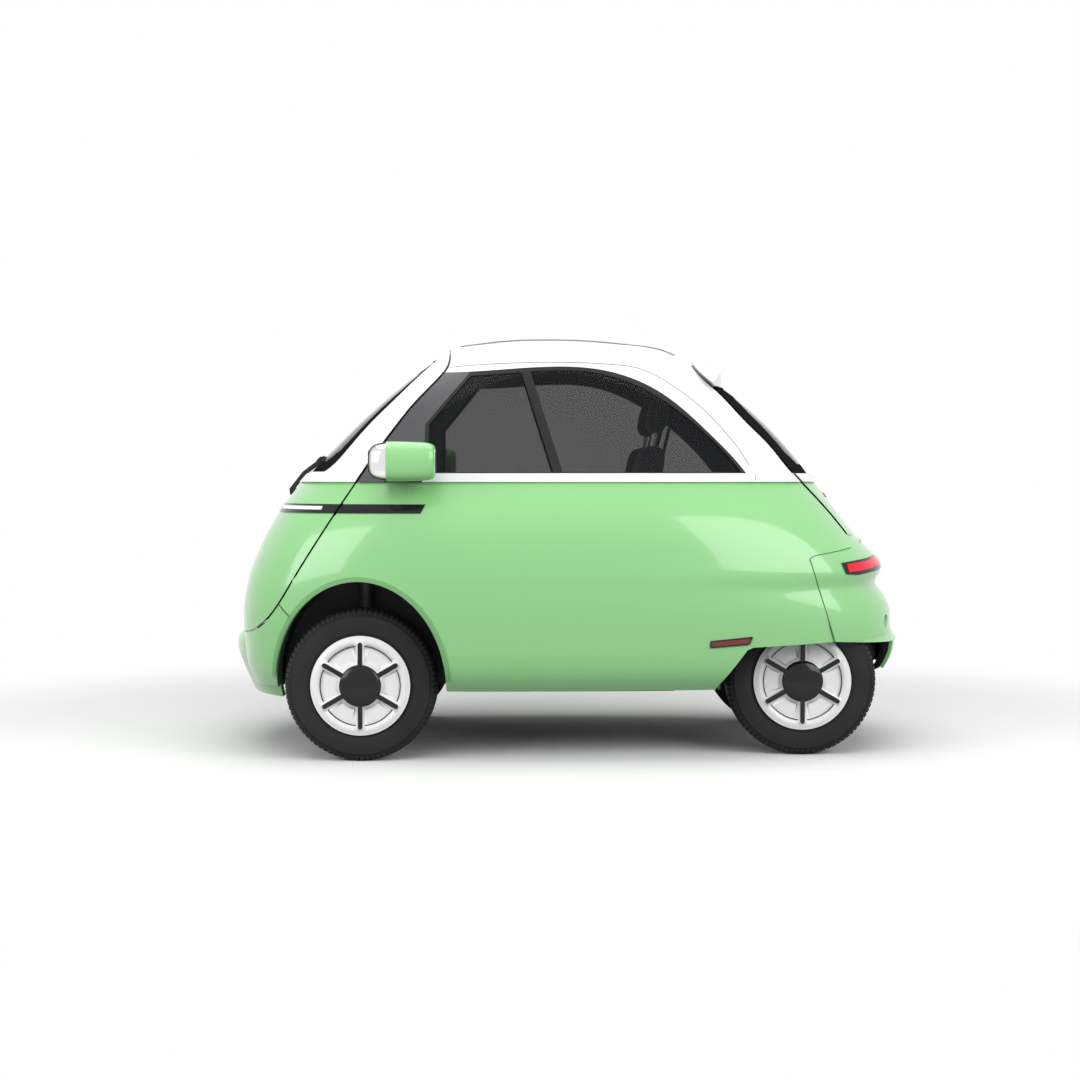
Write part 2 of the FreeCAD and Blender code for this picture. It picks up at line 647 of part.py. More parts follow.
free_form("body_side_left", left_of(sides))
free_form("body_side_right", right_of(sides))
free_form("front_bumper", front_bumper)
free_form("rear_bumper", rear_bumper)
free_form("upper_frame", upper_frame)
free_form("roof_panel", roof_panel)
free_form("rear_spoiler", spoiler)
free_form("tailgate_belt", tailgate_belt)
free_form("belt_trims", belt_fixed)
pillar_place = free_form("pillar_panels", pillar_panels)
free_form("window_seals", window_seals)
free_form("side_glass", side_glass)
free_form("door_skin", door_skin)
free_form("door_frame", door_frame)
free_form("windshield", windshield)
free_form("light_bar", light_bar)
free_form("light_bar_sides", light_bar_sides)
free_form("tailgate_panel", tailgate_panel)
free_form("tailgate_frame", tailgate_frame)
free_form("rear_glass", rear_glass)
free_form("floor_pan", floor_pan)
free_form("arch_liners", arch_liners)


# Parts made from bound primitives

LEFT = Rotation(Vector(1, 0, 0), 90)
RIGHT = Rotation(Vector(1, 0, 0), -90)


def bind(obj, **expressions):
    """Binds properties of an object to expressions over the sheet."""
    for name, expression in expressions.items():
        obj.setExpression(name, expression)
    return obj


def place(obj, x="0", y="0", z="0", turn=None):
    """Places an object by expressions, turned as given."""
    if turn is not None:
        obj.Placement = Placement(Vector(), turn)
    for axis, expression in zip("xyz", (x, y, z)):
        obj.setExpression(".Placement.Base." + axis, expression)
    return obj


def cylinder(name, radius, height, **where):
    obj = bind(doc.addObject("Part::Cylinder", name), Radius=radius, Height=height)
    return place(obj, **where)


def block(name, length, width, height, **where):
    obj = bind(doc.addObject("Part::Box", name), Length=length, Width=width, Height=height)
    return place(obj, **where)


def fused(name, *objects):
    obj = doc.addObject("Part::MultiFuse", name)
    obj.Shapes = list(objects)
    return obj


def cut_from(name, base, tool):
    obj = doc.addObject("Part::Cut", name)
    obj.Base = base
    obj.Tool = tool
    return obj


def rounded(name, base, radius, wanted):
    """Rounds the wanted edges of an object by one radius."""
    doc.recompute()
    obj = doc.addObject("Part::Fillet", name)
    obj.Base = base
    edges = base.Shape.Edges
    obj.Edges = [(i + 1, radius, radius) for i, edge in enumerate(edges) if wanted(edge)]
    return obj


def cone(name, low_radius, high_radius, height, **where):
    obj = bind(doc.addObject("Part::Cone", name), Radius1=low_radius, Radius2=high_radius,
               Height=height)
    return place(obj, **where)


def ellipsoid(name, rise, radius, **where):
    """A dome of this rise about its own z axis."""
    obj = bind(doc.addObject("Part::Ellipsoid", name), Radius1=rise, Radius2=radius,
               Radius3=radius)
    return place(obj, **where)


def spoke_set(name, length, width, height, z):
    """Three blocks through the axle, which make six spokes, one of them upright."""
    blocks = []
    for number, angle in enumerate((30, 90, 150)):
        obj = bind(doc.addObject("Part::Box", f"{name}_{number}"),
                   Length=length, Width=width, Height=height)
        turn = Rotation(Vector(0, 0, 1), angle)
        obj.Placement = Placement(Vector(), turn)
        along, sideways = turn.multVec(Vector(1, 0, 0)), turn.multVec(Vector(0, 1, 0))
        for axis in "xy":
            obj.setExpression(
                ".Placement.Base." + axis,
                f"-({length}) / 2 * {getattr(along, axis):.6f}"
                f" - ({width}) / 2 * {getattr(sideways, axis):.6f}")
        obj.setExpression(".Placement.Base.z", z)
        blocks.append(obj)
    return blocks


# Heights over a wheel's mid plane, as expressions.
LIP_TOP = "sizes.tyre_width / 2 + sizes.seat_gap + sizes.disc_lip"
FACE_TOP = LIP_TOP + " + sizes.disc_rise"


def shoulder(edge):
    return hasattr(edge.Curve, "Radius") and abs(edge.Curve.Radius - wheel_radius) < 0.1


def upright(edge):
    return abs(edge.tangentAt(0).z) > 0.99


def make_wheel(corner, x, y, turn):
    """A wheel with its tyre, made about its own axis with z outwards."""
    body = cylinder(corner + "_tyre_body", "sizes.wheel_radius", "sizes.tyre_width",
                    z="-sizes.tyre_width / 2")
    seat = cylinder(corner + "_tyre_seat", "sizes.rim_radius", "sizes.tyre_width + 20",
                    z="-sizes.tyre_width / 2 - 10")
    ring = cut_from(corner + "_tyre_ring", body, seat)
    tyre = rounded(corner + "_tyre", ring, size("tyre_shoulder"), shoulder)
    place(tyre, x=x, y=y, z="sizes.wheel_radius", turn=turn)
    keep("tyre_" + corner, tyre)

    rim = cylinder(corner + "_rim", "sizes.rim_radius", "sizes.tyre_width",
                   z="-sizes.tyre_width / 2")
    rim_space = cylinder(corner + "_rim_space", "sizes.rim_radius - 8", "sizes.tyre_width - 12",
                         z="-sizes.tyre_width / 2 - 1")
    ring = cut_from(corner + "_rim_ring", rim, rim_space)
    lip = cylinder(corner + "_lip", "sizes.disc_radius", "sizes.disc_lip",
                   z="sizes.tyre_width / 2 + sizes.seat_gap")
    face = cone(corner + "_face", "sizes.disc_radius - 2", "sizes.face_radius", "sizes.disc_rise",
                z=LIP_TOP)
    recess_ring = cylinder(corner + "_recess_ring", "sizes.recess_outer", "20",
                           z=FACE_TOP + " - sizes.recess_depth")
    recess_core = cylinder(corner + "_recess_core", "sizes.recess_inner", "30",
                           z=FACE_TOP + " - sizes.recess_depth - 5")
    lands = spoke_set(corner + "_land", "2 * sizes.disc_radius", "sizes.spoke_width", "30",
                      FACE_TOP + " - sizes.recess_depth - 5")
    recesses = cut_from(corner + "_recesses", recess_ring,
                        fused(corner + "_lands", recess_core, *lands))
    bars = spoke_set(corner + "_bar", "2 * sizes.bar_reach", "sizes.bar_width",
                     "sizes.bar_rise + 2", FACE_TOP + " - 2")
    bar_ends = [rounded(bar.Name + "_ends", bar, 7.4, upright) for bar in bars]
    cap = ellipsoid(corner + "_cap", "sizes.hub_cap_rise", "sizes.hub_cap_radius", z=FACE_TOP)
    hub = cylinder(corner + "_hub", "sizes.hub_radius",
                   "sizes.tyre_width / 2 - sizes.hub_inner - 2", z="sizes.hub_inner")
    disc = cut_from(corner + "_disc", fused(corner + "_blank", ring, lip, face, hub), recesses)
    wheel_solid = fused(corner + "_wheel_solid", disc, cap, *bar_ends)
    bore = cylinder(corner + "_bore", "sizes.bore_radius",
                    "sizes.spindle_end - sizes.hub_inner + 4", z="sizes.hub_inner - 2")
    wheel = cut_from(corner + "_wheel", wheel_solid, bore)
    place(wheel, x=x, y=y, z="sizes.wheel_radius", turn=turn)
    keep("wheel_" + corner, wheel)


CORNERS = [
    ("front_left", "sizes.front_axle_x", "-sizes.front_wheel_y", LEFT),
    ("front_right", "sizes.front_axle_x", "sizes.front_wheel_y", RIGHT),
    ("rear_left", "sizes.rear_axle_x", "-sizes.rear_wheel_y", LEFT),
    ("rear_right", "sizes.rear_axle_x", "sizes.rear_wheel_y", RIGHT),
]
for corner_row in CORNERS:
    make_wheel(*corner_row)


def make_knuckle(side, sign, turn):
    """The upright with its spindle and the two ball pins that it steers on."""
    upright = block(side + "_upright", "48", "40", "2 * sizes.knuckle_half_height",
                    x="sizes.front_axle_x - 24", y=f"{sign} * sizes.kingpin_y - 20",
                    z="sizes.wheel_radius - sizes.knuckle_half_height")
    spindle = cylinder(
        side + "_spindle", "sizes.bore_radius - sizes.pin_clearance",
        "sizes.front_wheel_y + sizes.spindle_end - sizes.kingpin_y",
        x="sizes.front_axle_x", y=f"{sign} * sizes.kingpin_y", z="sizes.wheel_radius", turn=turn)
    pins = cylinder(
        side + "_pins", "sizes.kingpin_radius",
        "2 * sizes.knuckle_half_height + 2 * sizes.kingpin_length",
        x="sizes.front_axle_x", y=f"{sign} * sizes.kingpin_y",
        z="sizes.wheel_radius - sizes.knuckle_half_height - sizes.kingpin_length")
    keep("knuckle_" + side, fused(side + "_knuckle", upright, spindle, pins))


make_knuckle("left", -1, LEFT)
make_knuckle("right", 1, RIGHT)


def front_suspension_side(sign):
    """A lower arm under the floor, and a strut up to the wheel house's top."""
    kingpin_y = sign * size("kingpin_y")
    thickness = size("arm_thickness")
    play = size("pin_clearance")
    half = size("knuckle_half_height")
    radius = size("kingpin_radius")
    shoulder_gap = 2
    low = wheel_radius - half - shoulder_gap - thickness
    high = wheel_radius + half + shoulder_gap
    bore = Part.makeCylinder(radius + play, 400, Vector(axle_front, kingpin_y, low - 50))
    foot_y = sign * (size("arch_inner_y") - 90)
    arm_eye = Part.makeCylinder(radius + 10, thickness, Vector(axle_front, kingpin_y, low))
    reach = abs(kingpin_y - foot_y)
    arm = Part.makeBox(44, reach, thickness, Vector(axle_front - 22, min(kingpin_y, foot_y), low))
    bracket = Part.makeBox(
        120, 40, floor_low - low, Vector(axle_front - 60, foot_y - 20, low))
    lower = arm_eye.fuse([arm, bracket]).cut(bore)
    strut_y = sign * size("strut_y")
    strut_eye = Part.makeCylinder(radius + 10, thickness, Vector(axle_front, kingpin_y, high))
    reach = abs(kingpin_y - strut_y)
    link = Part.makeBox(36, reach, thickness, Vector(axle_front - 18, min(kingpin_y, strut_y), high))
    top = wheel_radius + size("arch_rise") - size("seat_gap")
    strut = Part.makeCylinder(
        size("strut_radius"), top - high, Vector(axle_front, strut_y, high))
    strut = strut.common(arch_cylinder(-size("seat_gap"), -FAR, FAR))
    upper = strut_eye.fuse([link, strut]).cut(bore)
    return [lower, upper]


free_form("front_suspension", Part.Compound(
    front_suspension_side(-1) + front_suspension_side(1)))


def rear_suspension_shape():
    """An axle tube with stub spindles, trailing arms to the step and spring struts above."""
    wheel_y = size("rear_wheel_y")
    tube_end = wheel_y + size("hub_inner") - 8
    across = Vector(0, 1, 0)
    tube = Part.makeCylinder(
        size("axle_tube_radius"), 2 * tube_end, Vector(axle_rear, -tube_end, wheel_radius), across)
    end = wheel_y + size("spindle_end")
    stubs = Part.makeCylinder(
        size("bore_radius") - size("pin_clearance"), 2 * end,
        Vector(axle_rear, -end, wheel_radius), across)
    pieces = [stubs]
    for sign in (-1, 1):
        y = sign * 250
        front = step_x + skin
        pieces.append(Part.makeBox(
            axle_rear - front, 50, 40, Vector(front, y - 25, wheel_radius - 5)))
        pieces.append(Part.makeCylinder(
            size("strut_radius"), rear_low - wheel_radius, Vector(axle_rear, y, wheel_radius)))
    return tube.fuse(pieces)


free_form("rear_suspension", rear_suspension_shape())

battery = block("battery", "sizes.battery_length", "sizes.battery_width", "sizes.battery_height",
                x="sizes.battery_front_x", y="-sizes.battery_width / 2",
                z="sizes.floor_height + sizes.floor_thickness")
keep("battery_case", battery)
motor = block("motor", "sizes.motor_length", "sizes.motor_width", "sizes.motor_height",
              x="sizes.step_x + sizes.floor_thickness + 60", y="-sizes.motor_width / 2",
              z="sizes.rear_floor_height - sizes.motor_height")
keep("drive_unit", motor)


def long_edge(edge):
    return edge.Length > 60


cushion = block(
    "cushion_block", "sizes.cushion_length", "2 * sizes.seat_half_width",
    "sizes.cushion_thickness", x="sizes.seat_front_x", y="-sizes.seat_half_width",
    z="sizes.floor_height + sizes.floor_thickness + sizes.battery_height + sizes.seat_gap")
keep("seat_cushion", rounded("cushion", cushion, 25, long_edge))

seat_top = floor_high + size("battery_height") + size("seat_gap")
back_x = size("seat_front_x") + size("cushion_length") + 8


def seat_back_shape():
    """The seat back with its headrests on posts, leaning about its foot."""
    thickness = size("seat_back_thickness")
    half = size("seat_half_width")
    length = size("seat_back_length")
    back = Part.makeBox(thickness, 2 * half, length + 24, Vector(0, -half, 0))
    back = back.makeFillet(30, back.Edges)
    for sign in (-1, 1):
        width = size("headrest_width")
        rest = Part.makeBox(
            size("headrest_thickness"), width, size("headrest_height"),
            Vector(0, sign * size("headrest_y") - width / 2, length + 24 + size("headrest_rise")))
        rest = rest.makeFillet(30, rest.Edges)
        post = Part.makeBox(
            12, 110, 80, Vector(thickness / 2 - 6, sign * size("headrest_y") - 55, length))
        back = back.fuse([post, rest])
    back.rotate(Vector(), Vector(0, 1, 0), size("seat_back_lean"))
    back.translate(Vector(back_x, 0, seat_top))
    return back.cut(slab(0, seat_top))


free_form("seat_back", seat_back_shape())


# The steering wheel's own axes, with z towards the driver, in the car.
steering_place = Placement(
    Vector(size("steering_x"), size("steering_y"), size("steering_z")),
    Rotation(Vector(0, 1, 0), 90 - size("steering_lean")))


def steering_wheel_shape():
    grip = size("steering_grip")
    rim_radius = size("steering_rim_radius")
    rim = Part.makeTorus(rim_radius, grip)
    hub = Part.makeCylinder(34, 50, Vector(0, 0, -30))
    spokes = Part.makeBox(2 * rim_radius, 34, 12, Vector(-rim_radius, -17, -8))
    spoke = Part.makeBox(rim_radius, 34, 12, Vector(0, -17, -8))
    cross = spokes.copy()
    cross.rotate(Vector(), Vector(0, 0, 1), 90)
    inside = Part.makeCylinder(rim_radius, 60, Vector(0, 0, -30))
    arms = cross.fuse(spoke).common(inside)
    bore = Part.makeCylinder(12 + size("pin_clearance"), 40, Vector(0, 0, -35))
    return rim.fuse([hub, arms]).cut(bore)


def steering_column_shape():
    tube = Part.makeCylinder(size("column_radius"), 900, Vector(0, 0, -936))
    shaft = Part.makeCylinder(12, 60, Vector(0, 0, -58))
    column = tube.fuse([shaft])
    column.Placement = steering_place
    cabin = side_prism([
        (toe_top_x, toe_top), (toe_x, floor_high), (step_x, floor_high), (step_x, FAR),
        (toe_top_x, FAR)])
    return column.common(cabin)


free_form("steering_wheel", steering_wheel_shape(), steering_place)
free_form("steering_column", steering_column_shape())


# Each row is a place along the pod, as a share of its length from the front, and its half width
# and half height as shares of the largest.
MIRROR_SECTIONS = [
    (0, 0.44), (0.02, 0.62), (0.07, 0.81), (0.16, 0.93), (0.28, 0.99), (0.45, 1), (0.70, 0.985),
    (0.86, 0.95), (0.94, 0.89), (0.985, 0.79), (1, 0.68)]
MIRROR_SQUARENESS = 0.80


def rounded_section(centre, half_width, half_height):
    """A section across the car with four equal rounded quarters."""
    corners = []
    for up in (1, -1):
        top = centre + Vector(0, 0, up * half_height)
        for out in (1, -1):
            side = centre + Vector(0, out * half_width, 0)
            curve = Part.BezierCurve()
            curve.setPoles([
                top, top + (side - centre) * MIRROR_SQUARENESS,
                side + (top - centre) * MIRROR_SQUARENESS, side])
            corners.append(curve.toShape())
    return Part.Wire(Part.__sortEdges__(corners))


def mirror_pod(sign):
    """A pod that is rounded at both ends, with its middle outboard of the body's side."""
    length = size("mirror_length")
    middle = drawn(MIRROR_X, 0, 0)
    middle.y = sign * (size("half_width") + size("mirror_outboard"))
    middle.z = belt_high + size("mirror_over_belt")
    sections = []
    for along, share in MIRROR_SECTIONS:
        centre = middle + Vector((along - 0.5) * length, 0, 0)
        sections.append(rounded_section(
            centre, share * size("mirror_width") / 2, share * size("mirror_height") / 2))
    return Part.makeLoft(sections, True, False)


MIRROR_X = -566
pods = {sign: mirror_pod(sign) for sign in (-1, 1)}


def mirror_foot(sign):
    """The foot runs from the pod down to the dark base on the belt."""
    inner_y = sign * (size("half_width") - 120)
    outer_y = sign * (size("half_width") + size("mirror_outboard") - 30)
    foot = side_prism(
        [(-640, 984), (-640, 1000), (-600, 1025), (-530, 1025), (-520, 984)],
        min(inner_y, outer_y), max(inner_y, outer_y), Vector)
    return foot.cut(body_solid(-size("belt_proud"))).cut(pods[sign])


feet = [mirror_foot(sign) for sign in (-1, 1)]
pillar_place.Shape = pillar_place.Shape.fuse(feet)
lamp_end = stretch_x(MIRROR_X) - size("mirror_length") / 2 + size("lamp_length")
lamp_space = Part.makeBox(300, 2000, 400, Vector(lamp_end - 300, -1000, belt_high - 150))
free_form("mirror_housings", Part.Compound([pods[-1].cut(lamp_space), pods[1].cut(lamp_space)]))
free_form("headlamps", Part.Compound([pods[-1].common(lamp_space), pods[1].common(lamp_space)]))

# The rear lamps and the side reflectors stand in pockets of the rear corners and the skirts.
LAMP_OUTLINE = [(966, 690), (1120, 706), (FAR, 714), (FAR, 662), (1150, 657), (1030, 645), (984, 650)]
REFLECTOR_OUTLINE = [(492, 426), (637, 439), (625, 415), (490, 405)]
lamp_skin = body_solid(-4).cut(body_solid(14, below=100))
lamp_spaces = side_prism(LAMP_OUTLINE, -900, -150).fuse(side_prism(LAMP_OUTLINE, 150, 900))
rear_lamps = lamp_skin.common(lamp_spaces.fuse(side_prism(REFLECTOR_OUTLINE)))
free_form("rear_lamps", rear_lamps)
by_label = {part.Label: part for part in parts}
for label in ("rear_bumper", "body_side_left", "body_side_right"):
    by_label[label].Shape = by_label[label].Shape.cut(rear_lamps)

# The wiper's arm rises from the nose over the belt trim to a blade across the windshield.
WIPER_ARM = [
    (-1030, 920), (-1056, 925), (-1058, 948), (-1006, 1014), (-926, 1074), (-914, 1060),
    (-994, 1002), (-1034, 952)]
arm_y = size("wiper_arm_y")
wiper_arm = side_prism(WIPER_ARM, arm_y - 8, arm_y + 8).cut(body_solid(-size("seat_gap")))
wiper_arm = wiper_arm.cut(belt_ring)
glass_seat = body_solid(glass_out - size("seat_gap"))
blade_space = side_prism([(-FAR, 1052), (-800, 1052), (-800, 1068), (-FAR, 1068)],
                         arm_y - size("wiper_reach"), arm_y + size("wiper_reach"))
blade = body_solid(-16).cut(glass_seat).common(blade_space)
free_form("wiper", wiper_arm.fuse(blade.cut(door_frame)))

doc.recompute()
for obj in doc.Objects:
    if "Invalid" in obj.State or "Error" in obj.State:
        raise RuntimeError(f"{obj.Name} failed: {obj.State}")
os.makedirs("parts", exist_ok=True)
for part in parts:
    shape = part.Shape
    if shape.isNull() or not shape.isValid():
        raise RuntimeError(f"{part.Label} has no valid shape")
for part in parts:
    part.Shape.exportStep(f"parts/{part.Label}.step")
    print(part.Label, len(part.Shape.Solids), "solids", round(part.Shape.Volume / 1e6, 3), "litres")
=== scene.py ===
# %% [markdown]
# A two-seat bubble car, seen from its left side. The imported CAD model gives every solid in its
# real place, in metres: x to the rear, y to the car's right and z up. This script dresses that
# frame. Each cell first says what a piece or a finish is on the real car and why it is made so.

# %% Load the frame
import json
import math

import bmesh
import bpy
import numpy as np
from mathutils import Matrix, Vector
from mathutils.bvhtree import BVHTree
from mathutils.interpolate import poly_3d_calc


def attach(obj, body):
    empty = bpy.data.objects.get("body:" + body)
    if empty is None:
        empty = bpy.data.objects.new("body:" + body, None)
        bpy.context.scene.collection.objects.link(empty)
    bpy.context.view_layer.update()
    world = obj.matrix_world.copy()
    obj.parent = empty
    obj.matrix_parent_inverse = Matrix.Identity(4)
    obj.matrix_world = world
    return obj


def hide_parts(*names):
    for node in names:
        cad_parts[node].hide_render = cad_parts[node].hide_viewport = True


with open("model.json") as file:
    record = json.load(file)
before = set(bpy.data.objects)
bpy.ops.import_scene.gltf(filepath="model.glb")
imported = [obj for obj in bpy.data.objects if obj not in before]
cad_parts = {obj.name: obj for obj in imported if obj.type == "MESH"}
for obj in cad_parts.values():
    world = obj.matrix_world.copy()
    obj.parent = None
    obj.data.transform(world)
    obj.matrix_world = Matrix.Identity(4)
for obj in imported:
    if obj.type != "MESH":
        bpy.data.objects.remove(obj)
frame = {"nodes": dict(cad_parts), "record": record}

MM = 0.001
scene = bpy.context.scene
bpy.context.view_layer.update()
record = frame["record"]
body_of_node = {
    node: body for body, nodes in record["behaviour"]["bodies"].items() for node in nodes}
slot_of_node = {row["node"]: row["material_slot"] for row in record["subparts"]}

# %% [markdown]
# Every new piece is a plain mesh whose object stays at the origin, as the frame's own objects do.
# One helper makes it, gives it its material and says which body carries it.


# %% A helper that registers a finished piece
def finished(name, mesh, material, body, replaced=()):
    """Puts a mesh in the scene as a piece that rides on a body."""
    piece = bpy.data.objects.new(name.replace(" ", "_"), mesh)
    scene.collection.objects.link(piece)
    if material is not None:
        mesh.materials.clear()
        mesh.materials.append(material)
    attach(piece, body)
    if replaced:
        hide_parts(*replaced)
    return piece


def ended(bm, name):
    """The mesh of a bmesh, which is freed."""
    mesh = bpy.data.meshes.new(name)
    bm.to_mesh(mesh)
    bm.free()
    return mesh


def mesh_from(name, build):
    """A mesh filled by build(bm), with doubles merged and faces turned outwards."""
    bm = bmesh.new()
    build(bm)
    bmesh.ops.remove_doubles(bm, verts=bm.verts, dist=1e-6)
    bmesh.ops.recalc_face_normals(bm, faces=bm.faces)
    return ended(bm, name)


def loft(rows, cap_first=True, cap_last=True):
    """A mesh builder that skins closed loops of equal length, with a face at each end."""
    def build(bm):
        rings = [[bm.verts.new(point) for point in row] for row in rows]
        for here, there in zip(rings, rings[1:]):
            for i in range(len(here)):
                j = (i + 1) % len(here)
                bm.faces.new([here[i], here[j], there[j], there[i]])
        if cap_first:
            bm.faces.new(rings[0][::-1])
        if cap_last:
            bm.faces.new(rings[-1])
    return build


def evaluated_mesh(piece):
    """The mesh of an object with its modifiers applied."""
    ready = piece.evaluated_get(bpy.context.evaluated_depsgraph_get())
    return bpy.data.meshes.new_from_object(ready)


def shade_smooth(mesh, angle=35):
    """Smooth shading, with the edges over this angle kept sharp."""
    mesh.shade_smooth()
    mesh.set_sharp_from_angle(angle=math.radians(angle))
    return mesh


# %% [markdown]
# Plastic, rubber, leather and cast metal share two effects: a slow unevenness of the gloss, as
# from handling and dust, and a fine grain that breaks the highlights. Each is a node group with
# its own scale, so every material can set it for its surface.


# %% Shared shader groups
def add_nodes(tree, kinds):
    """New nodes of these kinds, by name."""
    return {name: tree.nodes.new(kind) for name, kind in kinds.items()}


def connect(tree, nodes, links):
    """Links nodes. Each row is a node and its output, and a node and its input."""
    for source, output, target, socket in links:
        tree.links.new(nodes[source].outputs[output], nodes[target].inputs[socket])


def set_inputs(node, **values):
    """Sets a node's inputs, with an underscore for each space in a name."""
    for name, value in values.items():
        node.inputs[name.replace("_", " ")].default_value = value


def new_group(name, inputs, output, detail, kinds):
    """A group with float inputs, one float output and a noise on Object coordinates."""
    tree = bpy.data.node_groups.new(name, "ShaderNodeTree")
    for label, value in inputs.items():
        socket = tree.interface.new_socket(label, in_out="INPUT", socket_type="NodeSocketFloat")
        socket.default_value = value
    tree.interface.new_socket(output, in_out="OUTPUT", socket_type="NodeSocketFloat")
    nodes = add_nodes(tree, {
        "source": "NodeGroupInput", "place": "ShaderNodeTexCoord", "noise": "ShaderNodeTexNoise",
        "result": "NodeGroupOutput", **kinds})
    set_inputs(nodes["noise"], Detail=detail)
    connect(tree, nodes, [
        ("place", "Object", "noise", "Vector"), ("source", "Scale", "noise", "Scale")])
    return tree, nodes


def make_uneven_gloss():
    """Roughness that wanders slowly between a low and a high value."""
    tree, nodes = new_group("Uneven gloss", {"Scale": 6.0, "Low": 0.3, "High": 0.4}, "Roughness",
                            3, {"spread": "ShaderNodeMapRange"})
    set_inputs(nodes["spread"], From_Min=0.3, From_Max=0.7)
    connect(tree, nodes, [
        ("noise", "Fac", "spread", "Value"), ("source", "Low", "spread", "To Min"),
        ("source", "High", "spread", "To Max"), ("spread", "Result", "result", "Roughness")])
    return tree


def make_fine_grain():
    """The height of a fine grain, for a Bump node."""
    tree, nodes = new_group("Fine grain", {"Scale": 600.0}, "Height", 2, {})
    connect(tree, nodes, [("noise", "Fac", "result", "Height")])
    return tree


UNEVEN_GLOSS = make_uneven_gloss()
FINE_GRAIN = make_fine_grain()
print("shader groups", UNEVEN_GLOSS.name, FINE_GRAIN.name)

# %% [markdown]
# A finish is one Principled shader. What is the same all over is set on its sockets; only the
# unevenness and the grain come from nodes.


# %% A helper for finishes
def finish_material(name, colour, low=0.3, high=0.4, grain=None, **sockets):
    """A material with uneven gloss and, where grain is (scale, depth in metres), a bump."""
    material = bpy.data.materials.new(name)
    material.use_nodes = True
    tree = material.node_tree
    nodes = add_nodes(tree, {"gloss": "ShaderNodeGroup"})
    nodes["shader"] = tree.nodes["Principled BSDF"]
    set_inputs(nodes["shader"], Base_Color=(*colour, 1), **sockets)
    nodes["gloss"].node_tree = UNEVEN_GLOSS
    set_inputs(nodes["gloss"], Low=low, High=high)
    connect(tree, nodes, [("gloss", "Roughness", "shader", "Roughness")])
    if grain:
        nodes |= add_nodes(tree, {"texture": "ShaderNodeGroup", "bump": "ShaderNodeBump"})
        nodes["texture"].node_tree = FINE_GRAIN
        set_inputs(nodes["texture"], Scale=grain[0])
        set_inputs(nodes["bump"], Distance=grain[1])
        connect(tree, nodes, [
            ("texture", "Height", "bump", "Height"), ("bump", "Normal", "shader", "Normal")])
    return material


# %% [markdown]
# Car paint is a colour coat under a clear coat. The clear coat gives the sharp reflections, so
# the colour coat itself can be quite rough. A faint orange peel in the grain keeps large panels
# from looking like glass.

# %% Paints
GREEN = (0.268, 0.602, 0.241)
WHITE = (0.80, 0.80, 0.80)
green_paint = finish_material(
    "Green paint", GREEN, 0.32, 0.38, grain=(260, 0.00002), Specular_IOR_Level=0.25,
    Coat_Weight=0.8, Coat_Roughness=0.09)
# The lip paint is the same green made darker, as painted shade where the arch lip faces down.
lip_painted_shade = finish_material(
    "Lip green with painted shade", tuple(0.72 * part for part in GREEN), 0.36, 0.42, Specular_IOR_Level=0.2)
white_paint = finish_material(
    "White paint", WHITE, 0.34, 0.40, grain=(260, 0.00002), Coat_Weight=0.4, Coat_Roughness=0.05)
wheel_paint = finish_material(
    "Wheel paint", (0.84, 0.84, 0.84), 0.30, 0.38, Coat_Weight=0.6, Coat_Roughness=0.08)
floor_paint = finish_material("Floor paint", (0.03, 0.03, 0.033), 0.55, 0.7)

# %% [markdown]
# The trim is moulded plastic: grained where hands and boots touch it, glossy round the lamps and
# windows. Rubber is darker and rougher still.

# %% Plastics and rubber
black_plastic = finish_material(
    "Black plastic", (0.014, 0.014, 0.015), 0.42, 0.52, grain=(900, 0.00010),
    Specular_IOR_Level=0.3)
dark_panel = finish_material("Dark panel", (0.055, 0.056, 0.06), 0.28, 0.36, grain=(700, 0.00003))
gloss_black = finish_material(
    "Gloss black", (0.008, 0.008, 0.009), 0.10, 0.16, Specular_IOR_Level=0.2, Coat_Weight=0.25,
    Coat_Roughness=0.05)
inner_trim = finish_material(
    "Inner trim", (0.018, 0.018, 0.020), 0.5, 0.6, grain=(800, 0.00012), Specular_IOR_Level=0.2)
seal_rubber = finish_material(
    "Seal rubber", (0.012, 0.012, 0.012), 0.45, 0.6, Specular_IOR_Level=0.25)
tyre_rubber = finish_material(
    "Tyre rubber", (0.013, 0.013, 0.013), 0.62, 0.78, grain=(500, 0.0001), Specular_IOR_Level=0.3)

# %% [markdown]
# Bare and painted metals: chrome round the headlamps, cast housings under the floor, and the
# painted steel of the suspension.

# %% Metals
chrome = finish_material("Chrome", (0.66, 0.67, 0.69), 0.08, 0.16, Metallic=1.0)


def edge_darkened(material, middle, edge):
    """Makes a metal darker where it curves away, as chrome is when it shows a dark floor."""
    tree = material.node_tree
    nodes = add_nodes(tree, {"facing": "ShaderNodeLayerWeight", "tone": "ShaderNodeMapRange"})
    nodes["shader"] = tree.nodes["Principled BSDF"]
    set_inputs(nodes["facing"], Blend=0.5)
    set_inputs(nodes["tone"], From_Min=0.30, From_Max=0.80, To_Min=middle, To_Max=edge)
    connect(tree, nodes, [
        ("facing", "Facing", "tone", "Value"), ("tone", "Result", "shader", "Base Color")])
    return material


